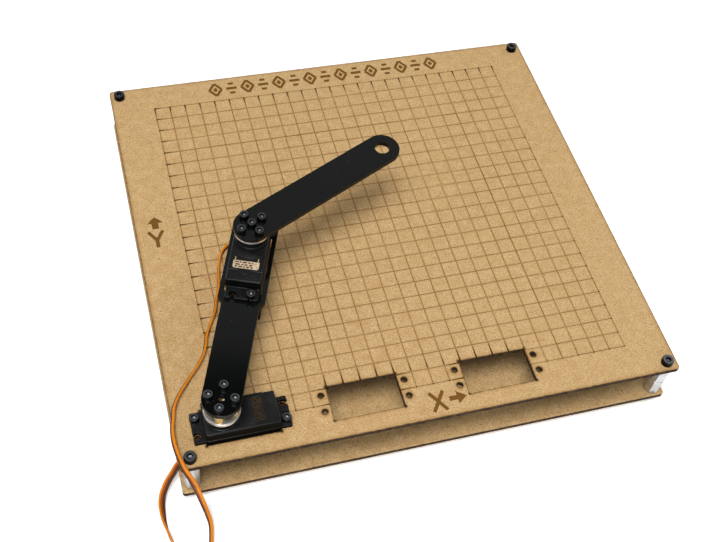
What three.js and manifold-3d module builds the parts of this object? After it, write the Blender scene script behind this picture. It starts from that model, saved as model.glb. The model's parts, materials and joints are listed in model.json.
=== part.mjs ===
// Two-link SCARA drawing arm on a double-deck plotting board.
// Millimetres, +Z up. Origin: centre of the board's footprint, at table level.
import * as THREE from 'three';
import { mergeVertices } from 'three/addons/utils/BufferGeometryUtils.js';
import Module from 'manifold-3d';

const wasm = await Module();
wasm.setup();

// ---- driving dimensions ----------------------------------------------------

const fitGap = 0.3; // clearance between a screw or shaft and the hole it sits in

const board = {
  width: 294,
  depth: 282,
  thickness: 3,
  cornerRadius: 1.8,
  deckSpacing: 27.2, // clear height between the two decks
  cornerHoleX: 140.7,
  cornerHoleY: 135.0,
  holePatternShift: [-0.3, -0.6], // drilled pattern sits slightly off the plate's centre
};

const cornerScrew = { headRadius: 3.5, headHeight: 4, shankRadius: 2, shankLength: 12, socket: 3 };
const smallScrew = { headRadius: 2.75, headHeight: 3, shankRadius: 1.5, socket: 2.5 };
const shaftScrew = { headRadius: 2.75, headHeight: 3, shankRadius: 1.25, socket: 2.5 };

const bottomDeckZ = cornerScrew.headHeight;
const topDeckZ = bottomDeckZ + board.thickness + board.deckSpacing;
const deckZ = topDeckZ + board.thickness; // the drawing surface

// Where the drawing grid's zero corner lies on the deck.
const gridZero = [-119.75, -119.45];

const bay = { width: 41, depth: 21.6, centreX: [80, 159.1], centreY: 0.2, screwY: 0.9 };

// Standard hobby servo. Its own frame has the output shaft on Z and the
// underside of the mounting ears at z = 0; +X points to the motor end.
const servo = {
  frontX: -10.1,
  rearX: 30.3,
  halfWidth: 9.9,
  bottomZ: -27,
  lowerSeamZ: -19.6,
  upperSeamZ: 3.2,
  topZ: 10.1,
  plateauZ: 10.7,
  plateauEndX: 23.6,
  shoulderZ: 11.2,
  shoulderRadius: 15.2,
  bossZ: 12.2,
  bossRadius: 9.6,
  collarZ: 13,
  collarRadius: 5,
  wall: 1.4,
  earFrontX: -16.7,
  earRearX: 37.0,
  earHalfWidth: 9.3,
  earThickness: 2.5,
  earHoleX: [-14.4, 34.4],
  earHoleY: 5.1,
  earHoleRadius: 2.1,
  earSlotWidth: 2.4,
  leadZ: -22.5,
};

const gearing = { module: 0.7, wheelTeeth: 20, pinionTeeth: 8, backlash: 0.1, faceWidth: 2.4 };
gearing.centreDistance = (gearing.module * (gearing.wheelTeeth + gearing.pinionTeeth)) / 2 + gearing.backlash;

const horn = { radius: 10, thickness: 2.4, hubRadius: 4.6, hubHeight: 3.2, boltCircle: 7 };
horn.topZ = 19; // above the servo's ears
horn.discZ = horn.topZ - horn.thickness;

const spacer = { acrossFlats: 5.2, height: 8, studLength: 2 };

const shoulder = { x: gridZero[0] - 0.9, y: gridZero[1], heading: THREE.MathUtils.degToRad(69.15) };
const elbowBend = THREE.MathUtils.degToRad(-43.55);

const link1 = {
  length: 98.4,
  halfWidth: 10.6,
  frameHalfWidth: 13.3,
  frameNearX: 59.6,
  frameFarX: 118,
  chamfer: 2.9,
  thickness: 3,
};
link1.z = horn.topZ + spacer.height; // underside, above the deck
link1.topZ = link1.z + link1.thickness;

const link2 = { length: 97.7, halfWidth: 10.45, thickness: 3, penHoleRadius: 4.45 };

const leadExitLength = 1.5;
const lead = { radius: 1.3, sides: 8, stations: 110 }; // plain round stand-in for a flat three-wire lead
const plug = { width: 7.6, length: 14, height: 2.6 };

// ---- helpers ---------------------------------------------------------------

function toSolid(geometry) {
  const bare = geometry.clone();
  bare.deleteAttribute('normal');
  bare.deleteAttribute('uv');
  const merged = mergeVertices(bare, 1e-4);
  const vertProperties = new Float32Array(merged.attributes.position.array);
  const triVerts = new Uint32Array(merged.index.array);
  return new wasm.Manifold(new wasm.Mesh({ numProp: 3, vertProperties, triVerts }));
}

function toGeometry(solid) {
  const mesh = solid.getMesh();
  const geometry = new THREE.BufferGeometry();
  geometry.setAttribute('position', new THREE.BufferAttribute(mesh.vertProperties, 3));
  geometry.setIndex(new THREE.BufferAttribute(mesh.triVerts, 1));
  geometry.computeVertexNormals();
  return geometry;
}

// A box between two corners.
function block(low, high) {
  const size = high.map((value, axis) => value - low[axis]);
  const geometry = new THREE.BoxGeometry(...size);
  geometry.translate(...high.map((value, axis) => (value + low[axis]) / 2));
  return toSolid(geometry);
}

// An upright cylinder from z0 to z1.
function rod(radius, z0, z1, x = 0, y = 0, sides = 20) {
  const geometry = new THREE.CylinderGeometry(radius, radius, z1 - z0, sides);
  geometry.rotateX(Math.PI / 2);
  geometry.translate(x, y, (z0 + z1) / 2);
  return toSolid(geometry);
}

// An upright hexagonal prism, measured across its flats.
function hexRod(acrossFlats, z0, z1, turn = 0) {
  const geometry = new THREE.CylinderGeometry(acrossFlats / Math.sqrt(3), acrossFlats / Math.sqrt(3), z1 - z0, 6);
  geometry.rotateX(Math.PI / 2);
  geometry.rotateZ(turn);
  geometry.translate(0, 0, (z0 + z1) / 2);
  return toSolid(geometry);
}

function extrudeShape(shape, z0, z1, curveSegments = 10) {
  const geometry = new THREE.ExtrudeGeometry(shape, { depth: z1 - z0, bevelEnabled: false, curveSegments });
  geometry.translate(0, 0, z0);
  return toSolid(geometry);
}

function makeMesh(name, solidOrGeometry, finish) {
  const geometry = solidOrGeometry.isBufferGeometry ? solidOrGeometry : toGeometry(solidOrGeometry);
  const mesh = new THREE.Mesh(geometry, new THREE.MeshStandardMaterial(finish));
  mesh.name = name;
  return mesh;
}

const finishes = {
  fibreboard: { color: 0xc9a674, roughness: 0.85, metalness: 0 },
  blackAcrylic: { color: 0x101112, roughness: 0.12, metalness: 0 },
  blackCase: { color: 0x161719, roughness: 0.5, metalness: 0 },
  blackScrew: { color: 0x202124, roughness: 0.38, metalness: 0.8 },
  aluminium: { color: 0xd4d6d8, roughness: 0.28, metalness: 1 },
  brass: { color: 0xc9a24e, roughness: 0.3, metalness: 1 },
  steel: { color: 0x9a9ca0, roughness: 0.35, metalness: 1 },
  circuitBoard: { color: 0x1d5b38, roughness: 0.5, metalness: 0 },
  leadOrange: { color: 0xd98324, roughness: 0.5, metalness: 0 },
};

// ---- fasteners -------------------------------------------------------------

// Socket head cap screw, its head resting on z = 0 and its shank below.
function capScrew(name, size, shankLength) {
  const sides = 12;
  const edge = 0.3;
  const profile = [
    [0, -shankLength],
    [size.shankRadius, -shankLength],
    [size.shankRadius, 0],
    [size.headRadius, 0],
    [size.headRadius, size.headHeight - edge],
    [size.headRadius - edge, size.headHeight],
    [0, size.headHeight],
  ].map(([radius, z]) => new THREE.Vector2(radius, z));
  const turned = new THREE.LatheGeometry(profile, sides);
  turned.rotateX(Math.PI / 2);
  const socket = hexRod(size.socket, size.headHeight * 0.4, size.headHeight + 1);
  return makeMesh(name, toSolid(turned).subtract(socket), finishes.blackScrew);
}

// ---- the double-deck board -------------------------------------------------

function roundedRectangle(width, depth, radius) {
  const x = width / 2;
  const y = depth / 2;
  const shape = new THREE.Shape();
  shape.moveTo(-x + radius, -y);
  shape.lineTo(x - radius, -y);
  shape.absarc(x - radius, -y + radius, radius, -Math.PI / 2, 0);
  shape.lineTo(x, y - radius);
  shape.absarc(x - radius, y - radius, radius, 0, Math.PI / 2);
  shape.lineTo(-x + radius, y);
  shape.absarc(-x + radius, y - radius, radius, Math.PI / 2, Math.PI);
  shape.lineTo(-x, -y + radius);
  shape.absarc(-x + radius, -y + radius, radius, Math.PI, 1.5 * Math.PI);
  return shape;
}

const cornerNames = ['front_left', 'front_right', 'back_right', 'back_left'];
const cornerSigns = [[-1, -1], [1, -1], [1, 1], [-1, 1]];
const corners = cornerSigns.map(([signX, signY]) => [
  signX * board.cornerHoleX + board.holePatternShift[0],
  signY * board.cornerHoleY + board.holePatternShift[1],
]);

function plate(z) {
  const outline = roundedRectangle(board.width, board.depth, board.cornerRadius);
  const holeRadius = cornerScrew.shankRadius + fitGap;
  let solid = extrudeShape(outline, z, z + board.thickness, 3);
  for (const [x, y] of corners) {
    solid = solid.subtract(rod(holeRadius, z - 1, z + board.thickness + 1, x, y, 12));
  }
  return solid;
}

// One servo bay: a rectangular window and a screw hole at each ear position.
function bayCut(windowX, windowY, screwX, screwY) {
  const low = topDeckZ - 1;
  const high = deckZ + 1;
  let cut = block(
    [windowX - bay.width / 2, windowY - bay.depth / 2, low],
    [windowX + bay.width / 2, windowY + bay.depth / 2, high],
  );
  const holeSpacing = servo.earHoleX[1] - servo.earHoleX[0];
  for (const sideX of [-0.5, 0.5]) {
    for (const sideY of [-1, 1]) {
      const x = screwX + sideX * holeSpacing;
      const y = screwY + sideY * servo.earHoleY;
      cut = cut.add(rod(smallScrew.shankRadius + fitGap, low, high, x, y, 10));
    }
  }
  return cut;
}

function buildBoard() {
  const group = new THREE.Group();
  group.add(makeMesh('bottom_plate', plate(bottomDeckZ), finishes.fibreboard));

  let deck = plate(topDeckZ);
  for (const centreX of bay.centreX) {
    const x = gridZero[0] + centreX;
    deck = deck.subtract(bayCut(x, gridZero[1] + bay.centreY, x, gridZero[1] + bay.screwY));
  }
  const servoCentreX = shoulder.x + (servo.earHoleX[0] + servo.earHoleX[1]) / 2;
  deck = deck.subtract(bayCut(servoCentreX + 0.1, shoulder.y + bay.centreY, servoCentreX, shoulder.y));
  group.add(makeMesh('top_plate', deck, finishes.fibreboard));

  corners.forEach(([x, y], index) => {
    const place = cornerNames[index];
    const low = bottomDeckZ + board.thickness;
    const bore = rod(cornerScrew.shankRadius + fitGap, low - 1, topDeckZ + 1, 0, 0, 10);
    const turn = THREE.MathUtils.degToRad(15);
    const standoff = makeMesh(`standoff_${place}`, hexRod(8, low, topDeckZ, turn).subtract(bore), finishes.aluminium);
    standoff.position.set(x, y, 0);
    group.add(standoff);

    const topScrew = capScrew(`deck_screw_${place}`, cornerScrew, cornerScrew.shankLength);
    topScrew.position.set(x, y, deckZ);
    group.add(topScrew);

    const footScrew = capScrew(`foot_screw_${place}`, cornerScrew, cornerScrew.shankLength);
    footScrew.position.set(x, y, bottomDeckZ);
    footScrew.rotation.x = Math.PI;
    group.add(footScrew);
  });
  return group;
}

// ---- gears -----------------------------------------------------------------

// A straight-sided tooth form with backlash, enough to turn freely in mesh.
function gearSolid(teeth, z0, z1) {
  const pitchRadius = (gearing.module * teeth) / 2;
  const rootRadius = pitchRadius - 1.15 * gearing.module;
  const tipRadius = pitchRadius + 0.8 * gearing.module;
  const pitchAngle = (2 * Math.PI) / teeth;
  const halfRoot = 0.3 * pitchAngle;
  const halfTip = 0.1 * pitchAngle;
  const points = [];
  for (let tooth = 0; tooth < teeth; tooth += 1) {
    const middle = tooth * pitchAngle;
    const flank = [[rootRadius, -halfRoot], [tipRadius, -halfTip], [tipRadius, halfTip], [rootRadius, halfRoot]];
    for (const [radius, offset] of flank) {
      const angle = middle + offset;
      points.push(new THREE.Vector2(radius * Math.cos(angle), radius * Math.sin(angle)));
    }
  }
  return extrudeShape(new THREE.Shape(points), z0, z1);
}

const lowerGearZ = [0.9, 0.9 + gearing.faceWidth];
const upperGearZ = [3.8, 3.8 + gearing.faceWidth];
const idlerX = gearing.centreDistance;
const motorX = 2 * gearing.centreDistance;
const idlerPinRadius = 1;
const motorShaftRadius = 1;
const journalRadius = 1.6; // lower end of the output shaft, turning the potentiometer
const splineRadius = 2.6;
const shaftRadius = 3;
// Half a tooth of turn brings a wheel's gap opposite the pinion's tooth.
const wheelPhase = Math.PI / gearing.wheelTeeth;

function outputShaft(name) {
  let solid = gearSolid(gearing.wheelTeeth, ...upperGearZ);
  solid = solid.add(rod(shaftRadius, upperGearZ[0], servo.collarZ, 0, 0, 16));
  solid = solid.add(rod(splineRadius, servo.collarZ - 1, horn.discZ - fitGap, 0, 0, 16));
  solid = solid.add(rod(journalRadius, -8, upperGearZ[0] + 1, 0, 0, 12));
  solid = solid.subtract(rod(shaftScrew.shankRadius + fitGap, 7, horn.discZ + 1, 0, 0, 10));
  const mesh = makeMesh(name, solid, finishes.steel);
  mesh.rotation.z = wheelPhase;
  return mesh;
}

function idlerGear(name) {
  const wheel = gearSolid(gearing.wheelTeeth, ...lowerGearZ).rotate([0, 0, THREE.MathUtils.radToDeg(wheelPhase)]);
  const smallGear = gearSolid(gearing.pinionTeeth, lowerGearZ[1] - 0.2, upperGearZ[1]);
  const solid = wheel.add(smallGear).subtract(rod(idlerPinRadius + fitGap, -1, 12, 0, 0, 10));
  const mesh = makeMesh(name, solid, finishes.brass);
  mesh.position.x = idlerX;
  return mesh;
}

function motorPinion(name) {
  const solid = gearSolid(gearing.pinionTeeth, ...lowerGearZ).add(rod(motorShaftRadius, -5, lowerGearZ[1] + 0.4, 0, 0, 10));
  const mesh = makeMesh(name, solid, finishes.brass);
  mesh.position.x = motorX;
  return mesh;
}

// ---- servo -----------------------------------------------------------------

const innerFrontX = servo.frontX + servo.wall;
const innerRearX = servo.rearX - servo.wall;
const innerHalfWidth = servo.halfWidth - servo.wall;

function caseBlock(z0, z1) {
  return block([servo.frontX, -servo.halfWidth, z0], [servo.rearX, servo.halfWidth, z1]);
}

function caseCavity(z0, z1) {
  return block([innerFrontX, -innerHalfWidth, z0], [innerRearX, innerHalfWidth, z1]);
}

function topCase() {
  const roofZ = servo.topZ - servo.wall;
  const footprint = caseBlock(servo.upperSeamZ, servo.collarZ);
  const plateau = block(
    [servo.frontX, -servo.halfWidth, servo.topZ - 1],
    [servo.plateauEndX, servo.halfWidth, servo.plateauZ],
  );
  const bump = rod(4.4, servo.topZ - 1, servo.plateauZ, servo.plateauEndX - 1.6, 0, 20);
  const shoulderStep = rod(servo.shoulderRadius, servo.topZ - 1, servo.shoulderZ, 0, 0, 36).intersect(footprint);
  let solid = caseBlock(servo.upperSeamZ, servo.topZ).add(plateau).add(bump).add(shoulderStep);
  solid = solid.add(rod(servo.bossRadius, servo.topZ - 1, servo.bossZ, 0, 0, 28));
  solid = solid.add(rod(servo.collarRadius, servo.topZ - 1, servo.collarZ, 0, 0, 16));
  solid = solid.subtract(caseCavity(servo.upperSeamZ - 1, roofZ));
  return solid.subtract(rod(shaftRadius + fitGap, roofZ - 1, servo.collarZ + 1, 0, 0, 16));
}

function mountingEars() {
  const centreX = (servo.frontX + servo.rearX) / 2;
  const ribHeight = 0.6;
  let ears = block(
    [servo.earFrontX, -servo.earHalfWidth, 0],
    [servo.earRearX, servo.earHalfWidth, servo.earThickness],
  );
  ears = ears.add(block(
    [servo.earFrontX + 1, -0.5, servo.earThickness - 1],
    [servo.earRearX - 1, 0.5, servo.earThickness + ribHeight],
  ));
  for (const x of servo.earHoleX) {
    const outward = Math.sign(x - centreX);
    const slotEnds = [x, x + outward * 6].sort((a, b) => a - b);
    for (const y of [-servo.earHoleY, servo.earHoleY]) {
      const slot = block([slotEnds[0], y - servo.earSlotWidth / 2, -1], [slotEnds[1], y + servo.earSlotWidth / 2, 5]);
      ears = ears.subtract(rod(servo.earHoleRadius, -1, 5, x, y, 14)).subtract(slot);
    }
  }
  return ears;
}

function middleCase() {
  const floorZ = [-2, -0.4]; // partition between the motor and the gears
  let solid = caseBlock(servo.lowerSeamZ, servo.upperSeamZ).add(mountingEars());
  solid = solid.subtract(caseCavity(servo.lowerSeamZ - 1, floorZ[0]));
  solid = solid.subtract(caseCavity(floorZ[1], servo.upperSeamZ + 1));
  solid = solid.subtract(rod(journalRadius + fitGap, -3, 1, 0, 0, 12));
  solid = solid.subtract(rod(motorShaftRadius + fitGap, -3, 1, motorX, 0, 10));
  return solid.add(rod(idlerPinRadius, floorZ[1] - 0.5, upperGearZ[1] + 1, idlerX, 0, 10));
}

// The lower cover, with the moulded exit for the lead in its front wall.
function bottomCase() {
  const floorZ = servo.bottomZ + servo.wall;
  const leadExit = block(
    [servo.frontX - leadExitLength, -2.7, servo.leadZ - 2.1],
    [servo.frontX + 0.5, 2.7, servo.leadZ + 2.1],
  );
  const shell = caseBlock(servo.bottomZ, servo.lowerSeamZ).add(leadExit);
  return shell.subtract(caseCavity(floorZ, servo.lowerSeamZ + 1));
}

function motor() {
  const can = rod(7.9, -19.2, -2.3, motorX, 0, 24);
  const shaftHole = rod(motorShaftRadius + fitGap, -6, -1, motorX, 0, 10);
  return can.subtract(shaftHole);
}

function potentiometer() {
  const body = rod(5, -14, -3.6, 0, 0, 16);
  return body.subtract(rod(journalRadius + fitGap, -9, -3, 0, 0, 12));
}

function controlBoard() {
  const topZ = -23.4;
  const pcb = block([innerFrontX + 0.6, -innerHalfWidth + 0.6, topZ - 1.2], [innerRearX - 0.6, innerHalfWidth - 0.6, topZ]);
  const driver = block([2, -3, topZ - 0.5], [8, 3, topZ + 1.6]);
  const controller = block([11, -2, topZ - 0.5], [16, 4, topZ + 1.2]);
  const capacitor = block([20, -5, topZ - 0.5], [24, -1, topZ + 2.6]);
  return pcb.add(driver).add(controller).add(capacitor);
}

// A servo at its output shaft; screwedEars lists the [x index, y side] of each ear screw.
function buildServo(prefix, screwedEars) {
  const group = new THREE.Group();
  group.add(makeMesh(`${prefix}_case_top`, topCase(), finishes.blackCase));
  group.add(makeMesh(`${prefix}_case_middle`, middleCase(), finishes.blackCase));
  group.add(makeMesh(`${prefix}_case_bottom`, bottomCase(), finishes.blackCase));
  group.add(makeMesh(`${prefix}_motor`, motor(), finishes.steel));
  group.add(makeMesh(`${prefix}_potentiometer`, potentiometer(), finishes.blackCase));
  group.add(makeMesh(`${prefix}_control_board`, controlBoard(), finishes.circuitBoard));
  group.add(motorPinion(`${prefix}_motor_pinion`));
  group.add(idlerGear(`${prefix}_idler_gear`));
  group.add(outputShaft(`${prefix}_output_shaft`));
  screwedEars.forEach(([xIndex, ySide], index) => {
    const screw = capScrew(`${prefix}_ear_screw_${index + 1}`, smallScrew, 8);
    screw.position.set(servo.earHoleX[xIndex], ySide * servo.earHoleY, servo.earThickness);
    group.add(screw);
  });
  return group;
}

// ---- horns, spacers and links ----------------------------------------------

const quarterTurns = [0, 1, 2, 3].map((quarter) => (quarter * Math.PI) / 2);

function boltPositions(radius) {
  return quarterTurns.map((angle) => [radius * Math.cos(angle), radius * Math.sin(angle)]);
}

function drill(solid, positions, radius, z0, z1) {
  return positions.reduce((rest, [x, y]) => rest.subtract(rod(radius, z0 - 1, z1 + 1, x, y, 10)), solid);
}

function servoHorn(name) {
  const hubZ = horn.discZ - horn.hubHeight;
  let solid = rod(horn.radius, horn.discZ, horn.topZ, 0, 0, 32);
  solid = solid.add(rod(horn.hubRadius, hubZ, horn.discZ + 0.5, 0, 0, 18));
  solid = solid.subtract(rod(splineRadius + fitGap, hubZ - 1, horn.discZ, 0, 0, 16));
  solid = drill(solid, [[0, 0]], shaftScrew.shankRadius + fitGap, hubZ, horn.topZ);
  solid = drill(solid, boltPositions(horn.boltCircle), smallScrew.shankRadius + fitGap, horn.discZ, horn.topZ);
  return makeMesh(name, solid, finishes.aluminium);
}

// Male-female hexagonal spacer, its stud screwed into the horn.
function hexSpacer(name) {
  const top = horn.topZ + spacer.height;
  let solid = hexRod(spacer.acrossFlats, horn.topZ, top, THREE.MathUtils.degToRad(8));
  solid = solid.add(rod(smallScrew.shankRadius, horn.topZ - spacer.studLength, horn.topZ + 0.5, 0, 0, 10));
  solid = solid.subtract(rod(smallScrew.shankRadius + fitGap, horn.topZ + 2, top + 1, 0, 0, 10));
  return makeMesh(name, solid, finishes.brass);
}

function link1Plate() {
  const { halfWidth, frameHalfWidth, frameNearX, frameFarX, chamfer } = link1;
  const slope = frameHalfWidth - halfWidth;
  const outline = new THREE.Shape();
  outline.absarc(0, 0, halfWidth, Math.PI / 2, 1.5 * Math.PI);
  outline.lineTo(frameNearX, -halfWidth);
  outline.lineTo(frameNearX + slope, -frameHalfWidth);
  outline.lineTo(frameFarX - chamfer, -frameHalfWidth);
  outline.lineTo(frameFarX, -frameHalfWidth + chamfer);
  outline.lineTo(frameFarX, frameHalfWidth - chamfer);
  outline.lineTo(frameFarX - chamfer, frameHalfWidth);
  outline.lineTo(frameNearX + slope, frameHalfWidth);
  outline.lineTo(frameNearX, halfWidth);

  const windowGap = 0.5;
  const windowHalfWidth = 10.75;
  const window = block(
    [link1.length - servo.rearX - windowGap, -windowHalfWidth, link1.z - 1],
    [link1.length - servo.frontX + windowGap, windowHalfWidth, link1.topZ + 1],
  );
  const earHoles = servo.earHoleX.flatMap((x) => [[link1.length - x, -servo.earHoleY], [link1.length - x, servo.earHoleY]]);
  const holes = [[0, 0], ...boltPositions(horn.boltCircle), ...earHoles];
  const solid = extrudeShape(outline, link1.z, link1.topZ).subtract(window);
  return drill(solid, holes, smallScrew.shankRadius + fitGap, link1.z, link1.topZ);
}

function link2Plate() {
  const bottomZ = horn.topZ;
  const topZ = bottomZ + link2.thickness;
  const outline = new THREE.Shape();
  outline.absarc(0, 0, link2.halfWidth, Math.PI / 2, 1.5 * Math.PI);
  outline.absarc(link2.length, 0, link2.halfWidth, -Math.PI / 2, Math.PI / 2);
  const solid = extrudeShape(outline, bottomZ, topZ);
  const holes = [[0, 0], ...boltPositions(horn.boltCircle)];
  const drilled = drill(solid, holes, smallScrew.shankRadius + fitGap, bottomZ, topZ);
  return drilled.subtract(rod(link2.penHoleRadius, bottomZ - 1, topZ + 1, link2.length, 0, 20));
}

function buildLink1() {
  const group = new THREE.Group();
  group.add(servoHorn('shoulder_horn'));
  const centreScrew = capScrew('shoulder_horn_screw', shaftScrew, 9);
  centreScrew.position.z = horn.topZ;
  group.add(centreScrew);
  boltPositions(horn.boltCircle).forEach(([x, y], index) => {
    const standoff = hexSpacer(`shoulder_spacer_${index + 1}`);
    standoff.position.set(x, y, 0);
    group.add(standoff);
    const screw = capScrew(`shoulder_link_screw_${index + 1}`, smallScrew, 8);
    screw.position.set(x, y, link1.topZ);
    group.add(screw);
  });
  group.add(makeMesh('link_1_plate', link1Plate(), finishes.blackAcrylic));
  return group;
}

function buildLink2() {
  const group = new THREE.Group();
  const topZ = horn.topZ + link2.thickness;
  group.add(servoHorn('elbow_horn'));
  group.add(makeMesh('link_2_plate', link2Plate(), finishes.blackAcrylic));
  const centreScrew = capScrew('elbow_horn_screw', shaftScrew, 12);
  centreScrew.position.z = topZ;
  group.add(centreScrew);
  boltPositions(horn.boltCircle).forEach(([x, y], index) => {
    const screw = capScrew(`elbow_link_screw_${index + 1}`, smallScrew, 5);
    screw.position.set(x, y, topZ);
    group.add(screw);
  });
  return group;
}

// ---- servo leads -----------------------------------------------------------

// The part of the shoulder lead past the board's corner is wound into a flat
// spiral on the table, starting on the circle's +X side and turning clockwise.
const coil = { centre: [-177.5, -192], outerRadius: 22, pitch: 4.2, turns: 1.5, pointsPerTurn: 14, z: 2.1 };

function coilPoints() {
  const points = [];
  for (let step = 0; step <= coil.turns * coil.pointsPerTurn; step += 1) {
    const turn = step / coil.pointsPerTurn;
    const radius = coil.outerRadius - coil.pitch * turn;
    const angle = -2 * Math.PI * turn;
    points.push([coil.centre[0] + radius * Math.cos(angle), coil.centre[1] + radius * Math.sin(angle), coil.z]);
  }
  return points;
}

// Each route runs from the servo's exit to the back of the plug.
const shoulderLeadRoute = [
  [-132.55, -119.45, 14.7],
  [-134.4, -119.5, 14.7],
  [-137.3, -120.3, 14.1],
  [-141.0, -121.6, 12.3],
  [-144.3, -122.8, 10.2],
  [-147.0, -124.2, 9.2],
  [-150.3, -127.6, 7.8],
  [-153.7, -131.0, 6.2],
  [-156.2, -134.4, 4.6],
  [-157.7, -137.0, 3.4],
  [-158.8, -140.6, 2.5],
  [-159.3, -144.6, 2.1],
  [-159.3, -151.7, 2.1],
  [-158.4, -158.1, 2.1],
  [-156.9, -164.5, 2.1],
  [-155.8, -173.5, 2.1],
  [-155.45, -183, 2.1],
  ...coilPoints(),
  [-192.4, -187.6, 2.1],
  [-189.7, -184.0, 2.1],
  [-185.7, -182.6, 1.8],
  [-181.5, -183.2, 1.5],
];

const elbowLeadRoute = [
  [-81.35, -16.35, 44.7],
  [-80.65, -14.5, 44.7],
  [-79.9, -11.9, 44.2],
  [-80.6, -7.8, 42.6],
  [-84.4, -3.9, 41.0],
  [-89.4, -1.9, 39.9],
  [-94.6, -2.4, 39.4],
  [-99.0, -6.4, 39.3],
  [-102.2, -13.4, 39.3],
  [-104.4, -22.7, 39.3],
  [-106.1, -31.9, 39.3],
  [-109.0, -40.0, 39.3],
  [-111.4, -48.1, 39.3],
  [-114.7, -54.4, 39.3],
  [-118.8, -62.6, 39.3],
  [-121.0, -70.3, 39.3],
  [-123.2, -75.3, 39.3],
  [-126.9, -81.0, 39.3],
  [-132.7, -87.7, 39.3],
  [-136.8, -92.6, 39.3],
  [-140.7, -97.6, 39.3],
  [-144.5, -104.7, 39.3],
  [-146.0, -111.3, 39.3],
  [-147.4, -117.4, 39.5],
  [-147.8, -124.4, 39.6],
  [-147.1, -131.5, 39.6],
  [-145.2, -141.0, 39.6],
  [-142.0, -145.4, 32.2],
  [-139.9, -147.3, 23.2],
  [-137.9, -150.4, 14.2],
  [-136.1, -154.7, 6.7],
  [-135.2, -159.6, 2.6],
  [-136.7, -169.1, 2.1],
  [-138.6, -180, 2.1],
  [-138.2, -194, 2.1],
  [-132, -204.5, 2.1],
  [-120.5, -208.6, 1.8],
  [-107.6, -208.2, 1.5],
];

function leadTube(name, route) {
  const curve = new THREE.CatmullRomCurve3(route.map((point) => new THREE.Vector3(...point)), false, 'centripetal');
  const section = new THREE.Shape();
  for (let side = 0; side < lead.sides; side += 1) {
    const angle = (side / lead.sides) * 2 * Math.PI;
    const x = lead.radius * Math.cos(angle);
    const y = lead.radius * Math.sin(angle);
    if (side === 0) section.moveTo(x, y);
    else section.lineTo(x, y);
  }
  section.closePath();
  const geometry = new THREE.ExtrudeGeometry(section, { steps: lead.stations, extrudePath: curve, bevelEnabled: false });
  return makeMesh(name, geometry, finishes.leadOrange);
}

// Three-way socket housing lying flat on the table, its back towards the lead's end.
function plugHousing(name, route) {
  const [end, before] = [route.at(-1), route.at(-2)];
  const heading = Math.atan2(end[1] - before[1], end[0] - before[0]);
  let solid = block([0, -plug.width / 2, 0], [plug.length, plug.width / 2, plug.height]);
  for (const y of [-2.54, 0, 2.54]) {
    solid = solid.subtract(block([plug.length - 6, y - 0.5, 0.8], [plug.length + 1, y + 0.5, 1.8]));
  }
  const mesh = makeMesh(name, solid, finishes.blackCase);
  mesh.position.set(end[0] + fitGap * Math.cos(heading), end[1] + fitGap * Math.sin(heading), 0);
  mesh.rotation.z = heading;
  return mesh;
}

// ---- assembly --------------------------------------------------------------

const arm = new THREE.Group();
arm.add(buildBoard());

const shoulderServo = buildServo('shoulder_servo', [[0, 1], [1, -1]]);
shoulderServo.position.set(shoulder.x, shoulder.y, deckZ);
arm.add(shoulderServo);

const upperArm = buildLink1();
upperArm.position.set(shoulder.x, shoulder.y, deckZ);
upperArm.rotation.z = shoulder.heading;
arm.add(upperArm);

const elbowServo = buildServo('elbow_servo', [[0, -1], [1, 1]]);
elbowServo.position.set(link1.length, 0, link1.topZ);
elbowServo.rotation.z = Math.PI;
upperArm.add(elbowServo);

const forearm = buildLink2();
forearm.position.set(link1.length, 0, link1.topZ);
forearm.rotation.z = elbowBend;
upperArm.add(forearm);

arm.add(leadTube('shoulder_lead', shoulderLeadRoute));
arm.add(plugHousing('shoulder_lead_plug', shoulderLeadRoute));
arm.add(leadTube('elbow_lead', elbowLeadRoute));
arm.add(plugHousing('elbow_lead_plug', elbowLeadRoute));

export default arm;
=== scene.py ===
"""Looks of the two-link SCARA drawing arm. Lengths are millimetres until they reach a mesh."""

import json
from math import acos, asin, atan2, copysign, cos, degrees, hypot, pi, radians, sin, sqrt

import bmesh
import bpy
import numpy as np
from mathutils import Matrix, Vector
from mathutils.geometry import tessellate_polygon

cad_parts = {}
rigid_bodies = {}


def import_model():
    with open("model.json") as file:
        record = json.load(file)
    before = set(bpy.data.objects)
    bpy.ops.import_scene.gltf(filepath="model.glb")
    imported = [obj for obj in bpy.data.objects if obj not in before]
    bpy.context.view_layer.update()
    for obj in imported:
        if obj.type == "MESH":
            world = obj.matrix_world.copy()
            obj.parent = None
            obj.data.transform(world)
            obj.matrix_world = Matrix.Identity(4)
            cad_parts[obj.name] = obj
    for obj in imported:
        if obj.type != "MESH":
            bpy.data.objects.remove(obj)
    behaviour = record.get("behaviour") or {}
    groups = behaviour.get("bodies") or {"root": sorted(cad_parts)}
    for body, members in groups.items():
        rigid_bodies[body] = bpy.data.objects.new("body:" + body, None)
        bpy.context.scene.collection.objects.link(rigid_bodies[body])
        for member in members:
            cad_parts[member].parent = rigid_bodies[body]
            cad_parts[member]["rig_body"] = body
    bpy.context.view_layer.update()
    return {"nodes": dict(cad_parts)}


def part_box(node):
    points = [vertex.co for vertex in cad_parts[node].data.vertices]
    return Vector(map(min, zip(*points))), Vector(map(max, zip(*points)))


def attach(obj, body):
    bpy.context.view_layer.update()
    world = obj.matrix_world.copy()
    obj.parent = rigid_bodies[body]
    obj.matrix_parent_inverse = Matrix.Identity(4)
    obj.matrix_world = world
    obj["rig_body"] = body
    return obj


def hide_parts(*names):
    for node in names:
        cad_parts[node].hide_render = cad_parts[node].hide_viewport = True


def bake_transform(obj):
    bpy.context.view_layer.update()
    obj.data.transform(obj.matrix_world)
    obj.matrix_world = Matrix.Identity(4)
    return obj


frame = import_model()
nodes = frame["nodes"]

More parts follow.
